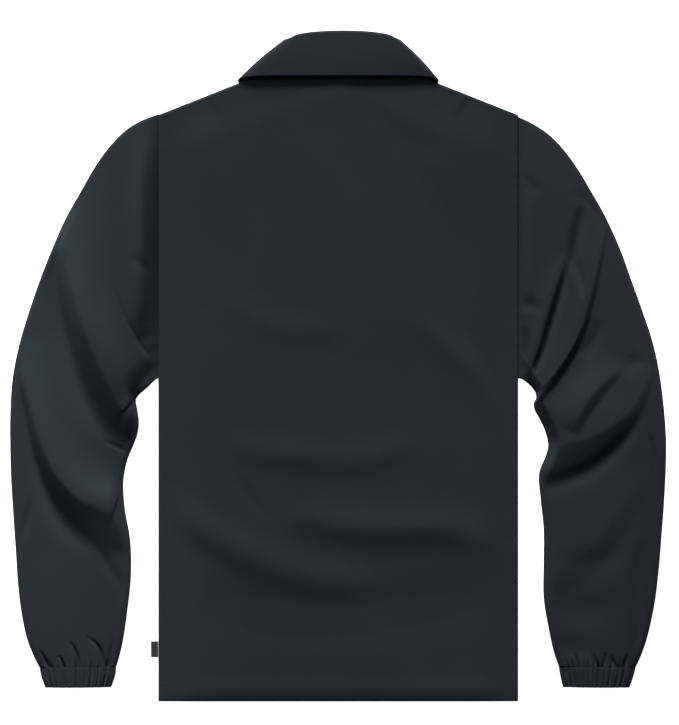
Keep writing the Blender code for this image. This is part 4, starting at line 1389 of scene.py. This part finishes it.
class COACH_OT_tag(bpy.types.Operator):
    """Make the small bare tag in the left side seam"""

    bl_idname = "coach_jacket.tag"
    bl_label = "Side Tag"

    def execute(self, context):
        bend = [math.pi * step / TAG_BEND_STEPS for step in range(TAG_BEND_STEPS + 1)]
        radius = (TAG_HIGH - TAG_LOW) * 0.5
        middle = (TAG_HIGH + TAG_LOW) * 0.5
        fold = [(TAG_END_X - radius * math.sin(a), middle - radius * math.cos(a)) for a in bend]
        level = np.linspace(TAG_START_X, TAG_END_X, TAG_FLAT_STEPS + 1)[:-1]
        section = [(x, TAG_LOW) for x in level] + fold + [(x, TAG_HIGH) for x in level[::-1]]
        section = np.array(section)
        run = run_length(section)
        across = np.linspace(-0.5, 0.5, TAG_WIDTH_STEPS + 1) * TAG_WIDTH
        points = np.zeros((len(across), len(section), 3))
        points[:, :, 0] = section[:, 0]
        points[:, :, 1] = TAG_Y + across[:, None]
        points[:, :, 2] = section[:, 1]
        flat = np.stack(np.meshgrid(run, across), axis=2)
        facing = (TAG_WIDTH_STEPS // 2, len(section) - 2, UP)
        finish = ribbon_material(TAG_WIDTH * MM)
        tag = cloth_piece("ribbon_tag", points, flat, finish, facing, thickness=TAG_WALL * MM)
        dress(tag, "side_tag")
        return {"FINISHED"}


class COACH_OT_stitching(bpy.types.Operator):
    """Sew the hems, the placket, the collar's edge and the casings"""

    bl_idname = "coach_jacket.stitching"
    bl_label = "Stitching"

    def execute(self, context):
        depth = context.scene.jacket_cloth.hem_depth / MM
        bm = bmesh.new()
        end = HALF_WIDTH - STITCH_MARGIN
        x = np.linspace(-end, end, BACK_HEM_STEPS)
        y = np.full_like(x, HEM_Y + depth)
        sew(bm, np.stack([x, y, back_surface(x, y)], axis=1))
        for side, shape in ((-1.0, front_relief), (1.0, lapped_front)):
            x = np.linspace(PLACKET_LAP + STITCH_MARGIN, end, FRONT_HEM_STEPS) * side
            y = np.full_like(x, HEM_Y + depth)
            sew(bm, np.stack([x, y, shape(x, y) + STITCH_SINK], axis=1))
            for place in PLACKET_ROWS[side]:
                top = float(panel_top(np.array([place]), FRONT_NECK)[0])
                y = np.linspace(HEM_Y + STITCH_MARGIN, top - STITCH_MARGIN, PLACKET_STEPS)
                x = np.full_like(y, place)
                sew(bm, np.stack([x, y, shape(x, y) + STITCH_SINK], axis=1))
        self.finish_rows("stitches_body", bm)

        bm = bmesh.new()
        points = collar_points()[0]
        sew(bm, points[STITCH_ENDS:-STITCH_ENDS, -1 - LEAF_STITCH_COLUMN])
        self.finish_rows("stitches_collar", bm)

        for side, sections, dips in CUFFS:
            bm = bmesh.new()
            ring = cuff_rings(sections, dips)[0][CASING_STITCH_ROW]
            sew(bm, ring[UPPER_STITCHES])
            sew(bm, ring[FLOOR_STITCHES] + (0.0, 0.0, STITCH_SINK))
            self.finish_rows(f"stitches_cuff_{side}", bm)
        return {"FINISHED"}

    def finish_rows(self, name, bm):
        """Rows of stitches as a piece that lies on the cloth."""
        rows = finished_piece(name, bm, thread_material())
        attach(rows, BODY)


class COACH_OT_stage(bpy.types.Operator):
    """Make the table, the lights and the camera"""

    bl_idname = "coach_jacket.stage"
    bl_label = "Table, Lights and Camera"

    def execute(self, context):
        scene = context.scene
        stage = scene.jacket_stage
        bm = bmesh.new()
        bmesh.ops.create_grid(bm, x_segments=1, y_segments=1, size=TABLE_HALF_WIDTH)
        bmesh.ops.translate(bm, verts=bm.verts, vec=UP * -TABLE_DROP)
        material, _, shader = plain_material("table_paint", 0.9)
        shader.inputs["Base Color"].default_value = (*stage.floor, 1.0)
        shader.inputs["Specular IOR Level"].default_value = 0.1
        shader.inputs["Emission Color"].default_value = (1.0, 1.0, 1.0, 1.0)
        shader.inputs["Emission Strength"].default_value = stage.table_glow
        finished_piece("table_top", bm, material)

        world = bpy.data.worlds.new("soft_room")
        world.use_nodes = True
        sky = world.node_tree.nodes["Background"]
        sky.inputs["Color"].default_value = (1.0, 1.0, 1.0, 1.0)
        sky.inputs["Strength"].default_value = stage.fill
        scene.world = world

        light = bpy.data.lights.new("key_light", "SUN")
        light.energy = stage.key_strength
        light.angle = stage.key_softness
        away = math.cos(stage.key_height)
        side = -math.sin(stage.key_turn) * away
        place = (side, math.cos(stage.key_turn) * away, math.sin(stage.key_height))
        hang_light(light, place, (0.0, 0.0, 0.0))

        glow = bpy.data.lights.new("side_panel", "AREA")
        glow.shape = "RECTANGLE"
        glow.size, glow.size_y = PANEL_SIZE
        glow.energy = stage.side_panel
        hang_light(glow, PANEL_PLACE, (0.0, 0.0, 0.0)).visible_camera = False

        beam = bpy.data.lights.new("sleeve_beam", "SPOT")
        beam.energy = stage.sleeve_beam
        beam.spot_size = BEAM_WIDTH
        beam.spot_blend = 1.0
        beam.shadow_soft_size = BEAM_SOFTNESS
        hang_light(beam, BEAM_PLACE, BEAM_TARGET).visible_camera = False

        lens = bpy.data.cameras.new("photo_camera")
        lens.sensor_width = SENSOR_WIDTH
        lens.lens = stage.lens
        lens.clip_start = 0.1
        lens.clip_end = 50.0
        camera = bpy.data.objects.new("photo_camera", lens)
        camera.location = (CAMERA_X, CAMERA_Y, stage.view_height * stage.lens / SENSOR_WIDTH)
        scene.collection.objects.link(camera)
        scene.camera = camera
        scene.view_settings.view_transform = "Standard"
        scene.view_settings.look = "None"
        return {"FINISHED"}


class COACH_PT_panel(bpy.types.Panel):
    """Lists the jacket's sizes, colours and pieces"""

    bl_idname = "COACH_PT_panel"
    bl_label = "Coach Jacket"
    bl_space_type = "VIEW_3D"
    bl_region_type = "UI"
    bl_category = "Coach Jacket"

    def draw(self, context):
        layout = self.layout
        for name in ("jacket_cloth", "jacket_colours", "jacket_stage"):
            group = getattr(context.scene, name)
            box = layout.box()
            for key in group.__annotations__:
                box.prop(group, key)
        for operator in MAKERS:
            layout.operator(operator.bl_idname)


MAKERS = (
    COACH_OT_body,
    COACH_OT_sleeves,
    COACH_OT_cuffs,
    COACH_OT_collar,
    COACH_OT_snaps,
    COACH_OT_tag,
    COACH_OT_stitching,
    COACH_OT_stage,
)
CLASSES = (JacketCloth, JacketColours, JacketStage, *MAKERS, COACH_PT_panel)


def register():
    for item in CLASSES:
        bpy.utils.register_class(item)
    bpy.types.Scene.jacket_cloth = PointerProperty(type=JacketCloth)
    bpy.types.Scene.jacket_colours = PointerProperty(type=JacketColours)
    bpy.types.Scene.jacket_stage = PointerProperty(type=JacketStage)


def unregister():
    del bpy.types.Scene.jacket_stage
    del bpy.types.Scene.jacket_colours
    del bpy.types.Scene.jacket_cloth
    for item in reversed(CLASSES):
        bpy.utils.unregister_class(item)


def main():
    """Makes every piece."""
    register()
    bpy.ops.coach_jacket.body()
    bpy.ops.coach_jacket.sleeves()
    bpy.ops.coach_jacket.cuffs()
    bpy.ops.coach_jacket.collar()
    bpy.ops.coach_jacket.snaps()
    bpy.ops.coach_jacket.tag()
    bpy.ops.coach_jacket.stitching()
    bpy.ops.coach_jacket.stage()


if __name__ == "__main__":
    main()
